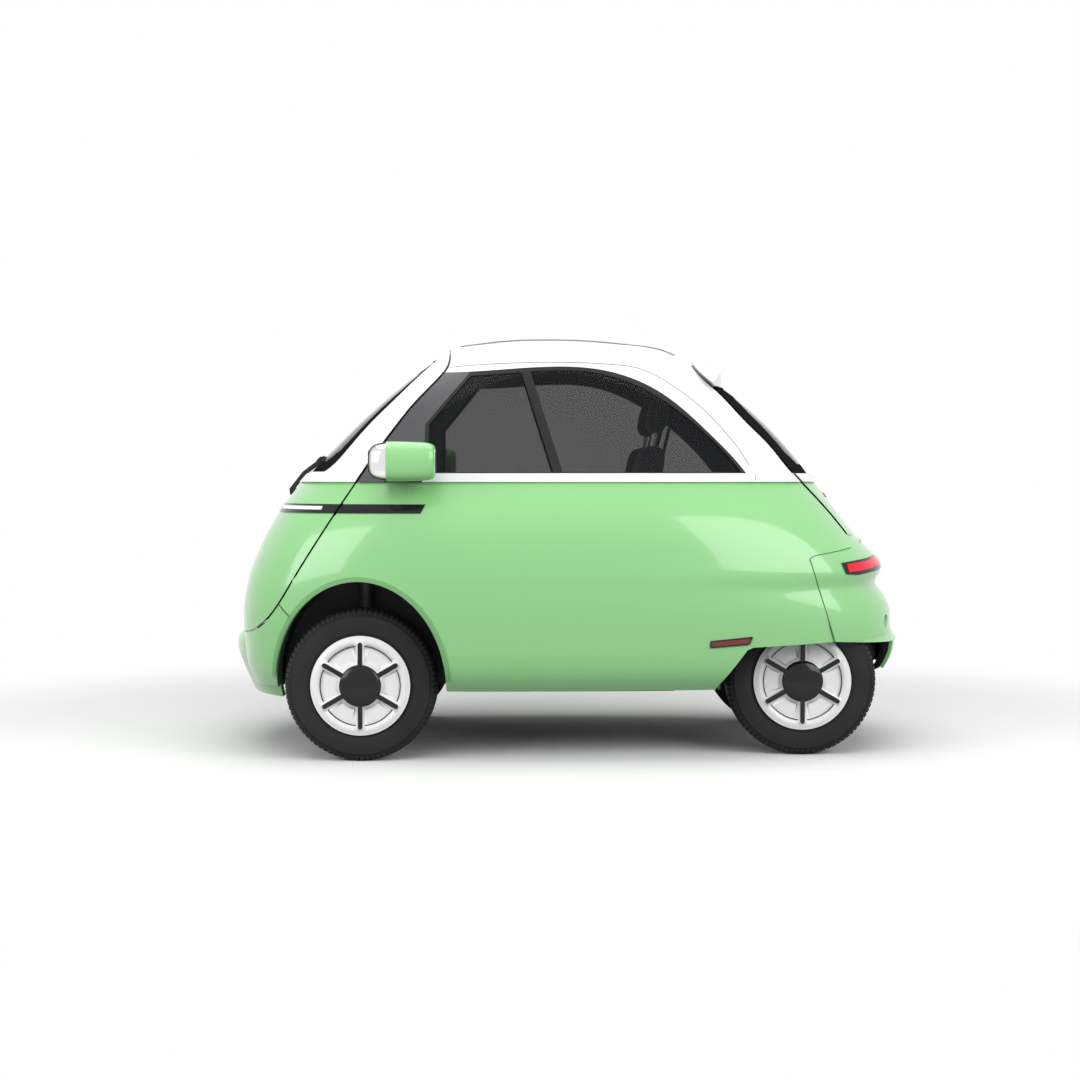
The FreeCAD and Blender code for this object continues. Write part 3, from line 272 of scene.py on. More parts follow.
lamp_chrome = edge_darkened(
    finish_material("Lamp chrome", (0.7, 0.7, 0.7), 0.08, 0.14, Metallic=1.0,
                    Specular_Tint=(0.25, 0.25, 0.26, 1)), 0.80, 0.10)
# Seam grey colours the real seams and also the thin strip along the roof's outline, which is a
# painted reflection.
seam_and_reflection_grey = finish_material("Seam and reflection grey", (0.16, 0.16, 0.165), 0.5, 0.6)
seam_green = finish_material("Seam green", (0.05, 0.12, 0.05), 0.5, 0.6)
mirror_glass = finish_material("Mirror glass", (0.9, 0.9, 0.9), 0.02, 0.04, Metallic=1.0)
cast_metal = finish_material("Cast metal", (0.10, 0.10, 0.11), 0.5, 0.65, grain=(300, 0.0002))
housing_metal = finish_material(
    "Housing metal", (0.42, 0.42, 0.43), 0.42, 0.55, grain=(400, 0.0001), Metallic=1.0)

# %% [markdown]
# The windows are dark tinted glass. Each pane here has an outer and an inner face, and a look
# through the car crosses two panes, so four faces share the tint. The panes are thin and bend no
# light, so Alpha does the work: part of each face lets straight light through, and the rest is a
# glossy black. Light reaches the seats that way too. Lenses are coloured plastic.


# %% Glass and lenses
def pane_material(name, colour, cover):
    """A thin pane, of which each face covers this share of what lies behind it."""
    material = bpy.data.materials.new(name)
    material.use_nodes = True
    set_inputs(material.node_tree.nodes["Principled BSDF"], Base_Color=(*colour, 1),
               Roughness=0.03, Specular_IOR_Level=0.18, Alpha=cover)
    return material


tinted_glass = pane_material("Tinted glass", (0.010, 0.011, 0.012), 0.47)
band_black = finish_material(
    "Printed band", (0.014, 0.014, 0.015), 0.3, 0.36, Specular_IOR_Level=0.0)
red_lens = finish_material(
    "Red lens", (0.60, 0.002, 0.022), 0.14, 0.20, Specular_IOR_Level=0.3,
    Emission_Color=(0.9, 0.001, 0.02, 1), Emission_Strength=0.25)
dark_red_lens = finish_material("Dark red lens", (0.17, 0.018, 0.016), 0.20, 0.26)
lamp_white = finish_material("Lamp white", (0.85, 0.87, 0.9), 0.1, 0.15, Coat_Weight=1.0)

# %% [markdown]
# Seat cloth is a woven fabric with a soft sheen, and the steering wheel's rim is grained leather.

# %% Cloth and leather
seat_cloth = finish_material(
    "Seat cloth", (0.035, 0.036, 0.04), 0.8, 0.95, grain=(1500, 0.0003), Sheen_Weight=0.4)
rim_leather = finish_material("Rim leather", (0.02, 0.02, 0.021), 0.4, 0.5, grain=(1100, 0.0002))

material_of_slot = {
    "green_paint": green_paint, "white_paint": white_paint, "dark_panel": dark_panel,
    "black_plastic": black_plastic, "black_gloss": gloss_black, "seal_rubber": seal_rubber,
    "tinted_glass": tinted_glass, "lamp_lens": chrome, "red_lens": red_lens,
    "tyre_rubber": tyre_rubber, "wheel_white": wheel_paint, "cast_metal": cast_metal,
    "floor_metal": floor_paint, "housing_metal": housing_metal, "seat_cloth": seat_cloth,
    "leather_grip": rim_leather,
}
for node, piece in frame["nodes"].items():
    piece.data.materials.clear()
    piece.data.materials.append(material_of_slot[slot_of_node[node]])
print("finishes", len(bpy.data.materials))

# %% [markdown]
# Glossy paint shows every facet of a CAD mesh. The body is one smooth surface, drawn in
# horizontal sections, so the same sections are used here to work out its true normal at any
# place. The mesh keeps its places, and only its shading gets these normals.

# %% The body's smooth surface
# Height, nose, tail, half width, widest x, and how square the section is at nose, front flank,
# rear flank and tail.
BODY_SECTIONS = [
    (250, -1165, 1165, 652, -260, 0.88, 0.84, 0.82, 0.80),
    (300, -1183, 1204, 690, -260, 0.88, 0.84, 0.82, 0.80),
    (400, -1197, 1237, 717, -260, 0.88, 0.84, 0.80, 0.80),
    (500, -1200, 1213, 729, -260, 0.88, 0.84, 0.80, 0.80),
    (575, -1192, 1176, 734, -260, 0.88, 0.83, 0.79, 0.80),
    (606, -1185, 1158, 735, -260, 0.88, 0.83, 0.79, 0.80),
    (642, -1177, 1176, 736, -260, 0.88, 0.82, 0.78, 0.80),
    (684, -1161, 1167, 735, -258, 0.88, 0.82, 0.77, 0.80),
    (770, -1124, 1092, 730, -250, 0.87, 0.80, 0.75, 0.82),
    (880, -1062, 1003, 708, -230, 0.85, 0.77, 0.71, 0.84),
    (980, -986, 928, 668, -200, 0.84, 0.74, 0.68, 0.86),
    (1080, -892, 853, 632, -170, 0.83, 0.72, 0.67, 0.87),
    (1180, -793, 762, 604, -140, 0.82, 0.71, 0.67, 0.86),
    (1280, -683, 650, 573, -110, 0.82, 0.70, 0.67, 0.84),
    (1360, -586, 541, 540, -90, 0.78, 0.68, 0.66, 0.80),
    (1420, -508, 455, 498, -70, 0.74, 0.66, 0.64, 0.74),
    (1464, -451, 366, 425, -60, 0.68, 0.62, 0.60, 0.68),
]
CROWN_SHARES = (0.8, 0.6, 0.4, 0.2, 0.05)
ROOF_CROWN = (-90, 1505)
BUMPER_SECTIONS = [
    (204, -1177, 660), (240, -1194, 680), (310, -1224, 700), (376, -1240, 712),
    (412, -1228, 712), (428, -1203, 708),
]
QUARTER_STEPS = 40
LEVEL_STEPS = 8


def crown_section(share):
    """A section of the roof dome, share times the size of the last drawn one."""
    z, nose, tail, width, widest, *squareness = BODY_SECTIONS[-1]
    crown_x, crown_z = ROOF_CROWN
    return (
        crown_z - (crown_z - z) * share ** 2, crown_x + (nose - crown_x) * share,
        crown_x + (tail - crown_x) * share, width * share,
        crown_x + (widest - crown_x) * share, *squareness)


def curve_weights(t):
    """The weights of a cubic curve's four poles."""
    return [(1 - t) ** 3, 3 * t * (1 - t) ** 2, 3 * t ** 2 * (1 - t), t ** 3]


def quarter_points(nose, side, k_nose, k_side):
    """Points along one quarter of a section, from the centreline to the flank."""
    nose, side = np.array(nose), np.array(side)
    poles = [nose, nose + (0, side[1] * k_nose), side + ((nose[0] - side[0]) * k_side, 0), side]
    weights = curve_weights(np.linspace(0, 1, QUARTER_STEPS + 1)[:, None])
    return sum(weight * pole for weight, pole in zip(weights, poles))


def section_loop(section):
    """The closed loop of a section, as rows of x, y and z in metres."""
    z, nose, tail, width, widest, k_nose, k_front, k_rear, k_tail = section
    front = quarter_points((nose, 0), (widest, -width), k_nose, k_front)
    back = quarter_points((tail, 0), (widest, -width), k_tail, k_rear)[::-1]
    left = np.vstack([front, back[1:]])
    right = left[::-1][1:-1] * (1, -1)
    loop = np.vstack([left, right])
    return np.column_stack([loop, np.full(len(loop), z)]) * MM


def smooth_levels(loops):
    """Natural cubic splines from loop to loop, with LEVEL_STEPS levels for each span."""
    loops = np.array(loops)
    spans = np.linalg.norm(np.diff(loops, axis=0), axis=2).mean(axis=1)
    count = len(loops)
    system = np.eye(count)
    slopes = np.zeros_like(loops)
    for i in range(1, count - 1):
        before, after = spans[i - 1], spans[i]
        system[i, i - 1:i + 2] = before, 2 * (before + after), after
        slopes[i] = 6 * ((loops[i + 1] - loops[i]) / after - (loops[i] - loops[i - 1]) / before)
    bend = np.linalg.solve(system, slopes.reshape(count, -1)).reshape(loops.shape)
    levels = []
    for i in range(count - 1):
        span = spans[i]
        for step in np.linspace(0, span, LEVEL_STEPS, endpoint=False):
            a, b = span - step, step
            levels.append(
                bend[i] * a ** 3 / (6 * span) + bend[i + 1] * b ** 3 / (6 * span)
                + (loops[i] / span - bend[i] * span / 6) * a
                + (loops[i + 1] / span - bend[i + 1] * span / 6) * b)
    levels.append(loops[-1])
    return np.array(levels)


class SmoothForm:
    """A closed surface through sections, which gives the true normal near any point."""

    def __init__(self, sections):
        levels = smooth_levels([section_loop(section) for section in sections])
        rows, around = levels.shape[:2]
        along_z = np.gradient(levels, axis=0)
        along_loop = np.roll(levels, -1, axis=1) - np.roll(levels, 1, axis=1)
        normals = np.cross(along_z, along_loop)
        normals /= np.linalg.norm(normals, axis=2, keepdims=True)
        self.points = [Vector(p) for p in levels.reshape(-1, 3)]
        self.normals = [Vector(n) for n in normals.reshape(-1, 3)]
        self.faces = [
            (start + i, start + (i + 1) % around, start + around + (i + 1) % around,
             start + around + i)
            for start in range(0, (rows - 1) * around, around) for i in range(around)]
        self.tree = BVHTree.FromPolygons(self.points, self.faces)
        middle = self.normals[self.faces[0][0]]
        outwards = self.points[self.faces[0][0]] - Vector((0, 0, self.points[0].z))
        self.sign = 1 if middle.dot(outwards) > 0 else -1

    def near(self, point):
        """The nearest place on the surface, its outward normal and the distance to it."""
        place, _, index, distance = self.tree.find_nearest(point)
        corners = self.faces[index]
        weights = poly_3d_calc([self.points[i] for i in corners], place)
        normal = Vector()
        for weight, i in zip(weights, corners):
            normal += weight * self.normals[i]
        return place, normal.normalized() * self.sign, distance

    def hit(self, start, direction):
        """Where a ray meets the surface, and the outward normal there."""
        place = self.tree.ray_cast(Vector(start), Vector(direction).normalized())[0]
        if place is None:
            return None, None
        return place, self.near(place)[1]


body_form = SmoothForm(BODY_SECTIONS + [crown_section(share) for share in CROWN_SHARES])
bumper_form = SmoothForm([
    (z, nose, 1150, width, -260, 0.66, 0.66, 0.6, 0.7) for z, nose, width in BUMPER_SECTIONS])
print("body form", len(body_form.points), "points")

# %% [markdown]
# A panel is a copy of its CAD node. Its doubles are merged, its long edges are divided so that
# the shading follows the surface, and each corner gets the surface's own normal. Faces that look
# inwards get the dark inner trim, because a car is not painted inside as it is outside.

# %% Smooth panels
LONGEST_EDGE = 0.045
MOST_DIVISIONS = 7
SKIN_DEPTH = 0.060
SAME_WAY = math.cos(math.radians(16))


def merged_bmesh(node):
    """A node's mesh for editing, with its doubles merged."""
    bm = bmesh.new()
    bm.from_mesh(frame["nodes"][node].data)
    bmesh.ops.remove_doubles(bm, verts=bm.verts, dist=1e-5)
    return bm


def triangulate(bm):
    """Splits the faces that have more than three corners."""
    bmesh.ops.triangulate(bm, faces=[face for face in bm.faces if len(face.verts) > 3])


def divided_copy(node, cuts):
    """A merged copy of a node's mesh, divided by planes, with no edge too long."""
    bm = merged_bmesh(node)
    for place, normal in cuts:
        everything = list(bm.verts) + list(bm.edges) + list(bm.faces)
        bmesh.ops.bisect_plane(bm, geom=everything, plane_co=place, plane_no=normal)
    for _ in range(MOST_DIVISIONS):
        triangulate(bm)
        long_edges = [edge for edge in bm.edges if edge.calc_length() > LONGEST_EDGE]
        if not long_edges:
            break
        bmesh.ops.subdivide_edges(bm, edges=long_edges, cuts=1)
    triangulate(bm)
    return ended(bm, node + " smooth")


def smooth_panel(node, forms=(body_form,), inside=inner_trim, cuts=()):
    """Replaces a node by its copy with true normals and its own inner finish."""
    mesh = divided_copy(node, cuts)
    outside = material_of_slot[slot_of_node[node]]
    mesh.materials.clear()
    mesh.materials.append(outside)
    if inside is not None:
        mesh.materials.append(inside)
    corner_normals = [None] * len(mesh.loops)
    known = {}
    for face in mesh.polygons:
        face.use_smooth = True
        chosen = None
        for form in forms:
            _, normal, distance = form.near(face.center)
            if distance < SKIN_DEPTH and abs(normal.dot(face.normal)) > SAME_WAY:
                if chosen is None or distance < chosen[2]:
                    chosen = (form, normal.dot(face.normal) > 0, distance)
        for corner in face.loop_indices:
            vertex = mesh.loops[corner].vertex_index
            if chosen is None:
                corner_normals[corner] = face.normal.copy()
                continue
            form, faces_out, _ = chosen
            key = (id(form), vertex)
            if key not in known:
                known[key] = form.near(mesh.vertices[vertex].co)[1]
            corner_normals[corner] = known[key] if faces_out else -known[key]
        if inside is not None and chosen is not None and not chosen[1]:
            face.material_index = 1
    mesh.normals_split_custom_set(corner_normals)
    name = node + " panel"
    return finished(name, mesh, None, body_of_node[node], replaced=(node,))


PAINTED = ["body_side_left", "body_side_right", "upper_frame", "roof_panel", "belt_trims",
           "door_skin", "door_frame", "tailgate_panel", "tailgate_belt", "rear_spoiler",
           "rear_bumper"]
DARK = ["pillar_panels", "window_seals", "light_bar", "light_bar_sides", "tailgate_frame"]
CLEAR_GLASS = {"windshield": (0.385, 1.050, 0.300, 1.375),
               "rear_glass": (0.320, 1.040, 0.285, 1.285)}
CORNER_CUT = 0.05
for node in PAINTED:
    smooth_panel(node)
for node in DARK:
    smooth_panel(node, inside=None)
smooth_panel("front_bumper", forms=(body_form, bumper_form))
smooth_panel("side_glass", inside=None)


def clear_outline(half_low, z_low, half_high, z_high):
    """Planes round the clear part of a pane, which is wider at its foot than at its top."""
    slope = (half_low - half_high) / (z_high - z_low)
    planes = [((0, 0, z_low), (0, 0, -1)), ((0, 0, z_high), (0, 0, 1))]
    for side in (-1, 1):
        planes += [((0, side * half_low, z_low), (0, side, slope)),
                   ((0, side * (half_high - CORNER_CUT), z_high), (0, side, 1)),
                   ((0, side * (half_low - CORNER_CUT), z_low), (0, side, -1))]
    return [(Vector(place), Vector(normal).normalized()) for place, normal in planes]


def banded_pane(node, planes):
    """A pane with a black printed band outside the planes, where it is bonded."""
    pane = smooth_panel(node, inside=None, cuts=planes)
    pane.data.materials.append(band_black)
    for face in pane.data.polygons:
        if any((face.center - place).dot(normal) > 0 for place, normal in planes):
            face.material_index = 1


for node, outline in CLEAR_GLASS.items():
    banded_pane(node, clear_outline(*outline))
print("panels with a band", len(CLEAR_GLASS))

# %% [markdown]
# Tread blocks, spoke bars and the wheels' painted shade lines repeat round an axis. One Geometry
# Nodes tree sets copies of a template on a ring. Its result is made a plain mesh, because the
# exported model keeps no instances.


# %% A ring of copies with Geometry Nodes
def make_ring_tree():
    """Copies of an object on a ring about z, each turned with its place."""
    tree = bpy.data.node_groups.new("Ring of copies", "GeometryNodeTree")
    sockets = [("Template", "NodeSocketObject"), ("Count", "NodeSocketInt"),
               ("Start Angle", "NodeSocketFloat"), ("Finish", "NodeSocketMaterial")]
    for label, kind in sockets:
        tree.interface.new_socket(label, in_out="INPUT", socket_type=kind)
    tree.interface.new_socket("Geometry", in_out="OUTPUT", socket_type="NodeSocketGeometry")
    nodes = add_nodes(tree, {
        "source": "NodeGroupInput", "result": "NodeGroupOutput", "points": "GeometryNodePoints",
        "index": "GeometryNodeInputIndex", "info": "GeometryNodeObjectInfo",
        "place": "GeometryNodeInstanceOnPoints", "share": "ShaderNodeMath",
        "turn": "ShaderNodeMath", "angle": "ShaderNodeMath", "rotation": "ShaderNodeCombineXYZ",
        "real": "GeometryNodeRealizeInstances", "paint": "GeometryNodeSetMaterial"})
    nodes["share"].operation = "DIVIDE"
    nodes["turn"].operation = "MULTIPLY"
    nodes["turn"].inputs[1].default_value = 2 * math.pi
    nodes["angle"].operation = "ADD"
    connect(tree, nodes, [
        ("source", "Count", "points", "Count"), ("index", "Index", "share", 0),
        ("source", "Count", "share", 1), ("share", 0, "turn", 0), ("turn", 0, "angle", 0),
        ("source", "Start Angle", "angle", 1), ("angle", 0, "rotation", "Z"),
        ("source", "Template", "info", "Object"), ("points", 0, "place", "Points"),
        ("info", "Geometry", "place", "Instance"), ("rotation", 0, "place", "Rotation"),
        ("place", 0, "real", 0), ("real", 0, "paint", "Geometry"),
        ("source", "Finish", "paint", "Material"), ("paint", 0, "result", 0)])
    return tree


RING_TREE = make_ring_tree()


def ring_mesh(name, template_mesh, count, material, start_angle=0.0):
    """The mesh of count copies of the template on a ring, as one plain mesh."""
    template = bpy.data.objects.new(name + " template", template_mesh)
    holder = bpy.data.objects.new(name + " holder", bpy.data.meshes.new(name))
    for helper in (template, holder):
        scene.collection.objects.link(helper)
    modifier = holder.modifiers.new("Ring", "NODES")
    modifier.node_group = RING_TREE
    values = {"Template": template, "Count": count, "Start Angle": start_angle, "Finish": material}
    for item in RING_TREE.interface.items_tree:
        if item.in_out == "INPUT":
            modifier[item.identifier] = values[item.name]
    mesh = evaluated_mesh(holder)
    mesh.name = name
    for helper in (holder, template):
        bpy.data.objects.remove(helper)
    return mesh


def joined(name, meshes):
    """Several meshes as one, keeping their materials."""
    bm = bmesh.new()
    materials = []
    for mesh in meshes:
        before = len(bm.faces)
        bm.from_mesh(mesh)
        bm.faces.ensure_lookup_table()
        shift = len(materials)
        materials += list(mesh.materials) or [None]
        for face in bm.faces[before:]:
            face.material_index += shift
    result = ended(bm, name)
    for material in materials:
        result.materials.append(material)
    return result


# %% [markdown]
# A tyre is a carcass turned about the axle, with a bulging sidewall, and rows of tread blocks.
# The outer rows wrap round the shoulder, which gives the tyre its toothed outline.

# %% Tyres
WHEEL_RADIUS = 0.2665
TYRE_HALF = 0.0725
TREAD_DEPTH = 0.0055
TREAD_PITCHES = 84
BLOCK_ROOT = 0.001
SHOULDER_HALF = 0.0077
RIM_SEAT = 0.168
TURN_STEPS = 96


def turned(profile, closed=True):
    """A mesh builder for a profile of (radius, z) points turned about z."""
    angles = np.linspace(0, 2 * math.pi, TURN_STEPS, endpoint=False)
    rows = [[(radius * math.cos(angle), radius * math.sin(angle), z) for angle in angles]
            for radius, z in profile]
    return loft(rows + rows[:closed], False, False)


BASE = WHEEL_RADIUS - TREAD_DEPTH
HALF_PROFILE = [
    (RIM_SEAT, 0.056), (RIM_SEAT + 0.003, 0.0655), (0.183, 0.0695), (0.1845, 0.0705),
    (0.1875, 0.0708), (0.189, 0.0712), (0.205, TYRE_HALF), (0.222, TYRE_HALF), (0.2375, 0.0700),
    (0.2385, 0.0705), (0.2405, 0.0700), (0.2415, 0.0690), (0.250, 0.0640), (0.2565, 0.0560),
    (BASE, 0.0460), (BASE + 0.0003, 0.0),
]
tyre_profile = HALF_PROFILE + [(radius, -z) for radius, z in reversed(HALF_PROFILE[:-1])]
carcass = shade_smooth(mesh_from("carcass", turned(tyre_profile)), 30)
carcass.materials.append(tyre_rubber)


def wedge(outline, z_low, z_high, slant=0.0):
    """A block with this outline in the x and y plane, from z_low to z_high, sheared by slant."""
    return loft([[(x, y, z_low) for x, y in outline],
                 [(x, y + slant, z_high) for x, y in outline]])


def shoulder_block(side):
    """A tread block that wraps from the tread round the shoulder."""
    line = [(WHEEL_RADIUS, 0.0290), (WHEEL_RADIUS - 0.0004, 0.0440), (0.2632, 0.0540),
            (0.2575, 0.0622), (0.2475, 0.0676), (0.2462, 0.0660), (0.2548, 0.0560),
            (BASE - BLOCK_ROOT, 0.0450), (BASE - BLOCK_ROOT, 0.0290)]
    return loft([[(radius, y, side * z) for radius, z in line]
                 for y in (-SHOULDER_HALF, SHOULDER_HALF)])


MIDDLE_BLOCK = [(BASE - BLOCK_ROOT, -0.0079), (WHEEL_RADIUS, -0.0076), (WHEEL_RADIUS, 0.0076),
                (BASE - BLOCK_ROOT, 0.0079)]
MIDDLE_FROM, MIDDLE_TO = 0.0035, 0.0245
BLOCK_SLANT = 0.006
pitch = 2 * math.pi / TREAD_PITCHES
tread_rows = []
for side in (-1, 1):
    block = mesh_from("shoulder block", shoulder_block(side))
    tread_rows.append(
        ring_mesh("shoulder row", block, TREAD_PITCHES, tyre_rubber, side * pitch / 4))
    z_from, z_to = sorted((side * MIDDLE_FROM, side * MIDDLE_TO))
    block = mesh_from("middle block", wedge(MIDDLE_BLOCK, z_from, z_to, side * BLOCK_SLANT))
    tread_rows.append(ring_mesh("middle row", block, TREAD_PITCHES, tyre_rubber))
tyre_mesh = joined("tyre", [carcass] + tread_rows)

AXLE_HEIGHT = 0.2665
WHEELS = {
    "front_left": (-0.724, -0.558), "front_right": (-0.724, 0.558),
    "rear_left": (0.837, -0.408), "rear_right": (0.837, 0.408),
}


def wheel_place(corner):
    """The matrix that puts a wheel, made about z with z outwards, on its axle."""
    x, y = WHEELS[corner]
    turn = Matrix.Rotation(math.radians(90 if y < 0 else -90), 4, "X")
    return Matrix.Translation((x, y, AXLE_HEIGHT)) @ turn


def placed(mesh, matrix):
    """A copy of a mesh, moved by a matrix."""
    copy = mesh.copy()
    copy.transform(matrix)
    return copy


for corner in WHEELS:
    finished(
        "tyre " + corner, placed(tyre_mesh, wheel_place(corner)), None, "wheel_" + corner,
        replaced=("tyre_" + corner,))
print("tyre faces", len(tyre_mesh.polygons))

# %% [markdown]
# The wheel has a white disc with six recesses, six slim black bars on the lands between them and a
# domed black cap. The CAD wheel has all these forms, so the black ones are thin covers over them. A
# dark line at the outer edge of each recess is painted shade, where the recess wall is in shadow.

# %% Wheel discs
FACE_Z = 0.0818
BAR_HALF_WIDTH = 0.0080
BAR_FROM = 0.060
BAR_TO = 0.1515
BAR_LOW = 0.0812
BAR_TOP = 0.0866
END_STEPS = 8
CAP_RADIUS = 0.0735
CAP_RISE = 0.0156
CAP_STEPS = 12
RECESS_OUTER = 0.140
LINE_WIDTH = 0.0022
LINE_LAP = 0.0006
LINE_SUNK = 0.0045
LINE_PROUD = 0.0010
LINE_SPREAD = 23.5
LINE_STEPS = 14


def bar_outline():
    """One bar in the wheel's face, with a round outer end."""
    end = BAR_TO - BAR_HALF_WIDTH
    points = [(BAR_FROM, -BAR_HALF_WIDTH)]
    for step in range(END_STEPS + 1):
        angle = -math.pi / 2 + math.pi * step / END_STEPS
        points.append(
            (end + BAR_HALF_WIDTH * math.cos(angle), BAR_HALF_WIDTH * math.sin(angle)))
    points.append((BAR_FROM, BAR_HALF_WIDTH))
    return points


def recess_shade_line():
    """A thin dark arc of painted shade at the outer wall of one recess, between two lands."""
    inner, outer = RECESS_OUTER - LINE_WIDTH, RECESS_OUTER + LINE_LAP
    low, high = FACE_Z - LINE_SUNK, FACE_Z + LINE_PROUD
    profile = [(inner, low), (inner, high), (outer, high), (outer, low)]
    angles = np.radians(np.linspace(-LINE_SPREAD, LINE_SPREAD, LINE_STEPS + 1))
    return loft([[(radius * math.cos(angle), radius * math.sin(angle), z)
                  for radius, z in profile] for angle in angles])


bar = mesh_from("bar", wedge(bar_outline(), BAR_LOW, BAR_TOP))
bars_mesh = ring_mesh("bars", bar, 6, gloss_black, math.pi / 2)
cap_profile = [(CAP_RADIUS, FACE_Z - 0.0008)]
for step in range(1, CAP_STEPS + 1):
    angle = math.pi / 2 * step / CAP_STEPS
    cap_profile.append((CAP_RADIUS * math.cos(angle) * (step < CAP_STEPS),
                        FACE_Z + CAP_RISE * math.sin(angle)))
cap_mesh = shade_smooth(mesh_from("cap", turned(cap_profile, closed=False)), 60)
shade_line_mesh = ring_mesh("edge lines", mesh_from("edge line", recess_shade_line()), 6, gloss_black)


def merged_copy(node, angle):
    """A copy of a node's mesh that shades smoothly up to this angle."""
    return shade_smooth(ended(merged_bmesh(node), node + " merged"), angle)


for corner in WHEELS:
    body = "wheel_" + corner
    finished("wheel disc " + corner, merged_copy(body, 25), wheel_paint, body,
             replaced=(body,))
    for word, mesh in (("spoke bars", bars_mesh), ("hub cap", cap_mesh),
                       ("edge lines", shade_line_mesh)):
        finished(f"{word} {corner}", placed(mesh, wheel_place(corner)), gloss_black, body)

# %% [markdown]
# The daytime lights sit in the ends of the light bar, the stop lamp stands on the tailgate and
# the red lenses lie in the rear lamps. All follow the body, so each is a thin plate whose points
# are found by rays cast outwards from an upright axis inside the car.


# %% Plates that follow the body
def skin_plate(name, axis_x, angles, heights, proud, depth, material, body, steps=(24, 4)):
    """A plate on the body between two angles, in degrees from the rear, and two heights."""
    rows = []
    for angle in np.radians(np.linspace(*angles, steps[0] + 1)):
        ray = (math.cos(angle), math.sin(angle), 0)
        hits = [body_form.hit((axis_x, 0, z), ray) for z in np.linspace(*heights, steps[1] + 1)]
        rows.append([place + normal * proud for place, normal in hits]
                    + [place + normal * (proud - depth) for place, normal in hits[::-1]])
    return finished(name, shade_smooth(mesh_from(name, loft(rows))), material, body)


for side, word in ((-1, "left"), (1, "right")):
    skin_plate("daytime light " + word, -0.30, (180 + side * 24, 180 + side * 47),
               (0.8775, 0.8895), 0.0042, 0.003, lamp_white, "door")
skin_plate("stop lamp", 0.30, (-12, 12), (0.915, 0.932), 0.006, 0.008, red_lens, "tailgate")

# The rear bumper's middle reaches lower than its skirts, and is lined with black plastic.
skin_plate("rear apron", 0.30, (-19, 19), (0.292, 0.404), 0.0, 0.012, green_paint, "chassis",
           steps=(30, 8))
skin_plate("rear apron liner", 0.30, (-23.5, 23.5), (0.286, 0.412), -0.0122, 0.012, band_black,
           "chassis", steps=(36, 4))

# %% [markdown]
# The bench is two foam pads side by side, and each seat has a back pad and a headrest. Foam under
# cloth is crowned and pulls in at its corners, so each pad is inflated as a closed cloth: it starts
# a little too small, swells for twenty frames, and then one subdivision rounds it off. Sewn
# channels are pressed in afterwards, because the remesh would lose them.

# %% Seat pads
PAD_VOXEL = 0.010
PAD_SHRINK = 0.010
PAD_PRESSURE = 4
PAD_FRAMES = 20
CHANNEL_SIZE = 0.006
SEAT_MIDDLE = 0.270
TINY = 1e-9
BACK_LEAN = math.radians(11)
BACK_FOOT = Vector((0.138, 0, 0.4583))


def rounded_block(low, high, radius):
    """A box from one corner to the other, with rounded edges."""
    def build(bm):
        bmesh.ops.create_cube(bm, size=1)
        for vertex in bm.verts:
            vertex.co = Vector([
                (a + b) / 2 + c * (b - a) for a, b, c in zip(low, high, vertex.co)])
        bmesh.ops.bevel(bm, geom=list(bm.edges), offset=radius, segments=4, profile=0.5,
                        affect="EDGES")
    return build


def swollen_places(pad, places):
    """Where a closed mesh's points lie after twenty frames as cloth under pressure."""
    cloth = pad.modifiers.new("Cloth", "CLOTH")
    cloth.settings.use_pressure = True
    cloth.settings.uniform_pressure_force = PAD_PRESSURE
    cloth.settings.effector_weights.gravity = 0
    for frame_number in range(1, PAD_FRAMES + 1):
        scene.frame_set(frame_number)
    ready = pad.evaluated_get(bpy.context.evaluated_depsgraph_get())
    swollen = np.empty(places.size)
    ready.data.vertices.foreach_get("co", swollen)
    move = swollen.reshape(-1, 3) - places
    length = np.linalg.norm(move, axis=1, keepdims=True)
    pad.modifiers.clear()
    scene.frame_set(1)
    return places + move * np.minimum(1, PAD_SHRINK / np.maximum(length, TINY))


def inflated(name, low, high, radius, matrix, channels=()):
    """A pad that swells until it fills the box from low to high, with channels at these y."""
    shrink = Vector((1, 1, 1)) * PAD_SHRINK
    block = mesh_from(name, rounded_block(Vector(low) + shrink, Vector(high) - shrink, radius))
    pad = bpy.data.objects.new("pad", block)
    scene.collection.objects.link(pad)
    remesh = pad.modifiers.new("Remesh", "REMESH")
    remesh.mode = "VOXEL"
    remesh.voxel_size = PAD_VOXEL
    start = evaluated_mesh(pad)
    pad.modifiers.clear()
    pad.data = start
    places = np.empty(len(start.vertices) * 3)
    start.vertices.foreach_get("co", places)
    places = places.reshape(-1, 3)
    places = swollen_places(pad, places)
    for middle in channels:
        press = CHANNEL_SIZE * np.exp(-((places[:, 1] - middle) / CHANNEL_SIZE) ** 2)[:, None]
        away = places - places.mean(axis=0)
        away[:, 1] = 0
        away /= np.maximum(np.linalg.norm(away, axis=1, keepdims=True), TINY)
        places = places - away * press
    start.vertices.foreach_set("co", places.reshape(-1))
    start.update()
    finer = pad.modifiers.new("Subdivision", "SUBSURF")
    finer.levels = 1
    finer.render_levels = 1
    result = evaluated_mesh(pad)
    bpy.data.objects.remove(pad)
    result.shade_smooth()
    result.transform(matrix)
    return result


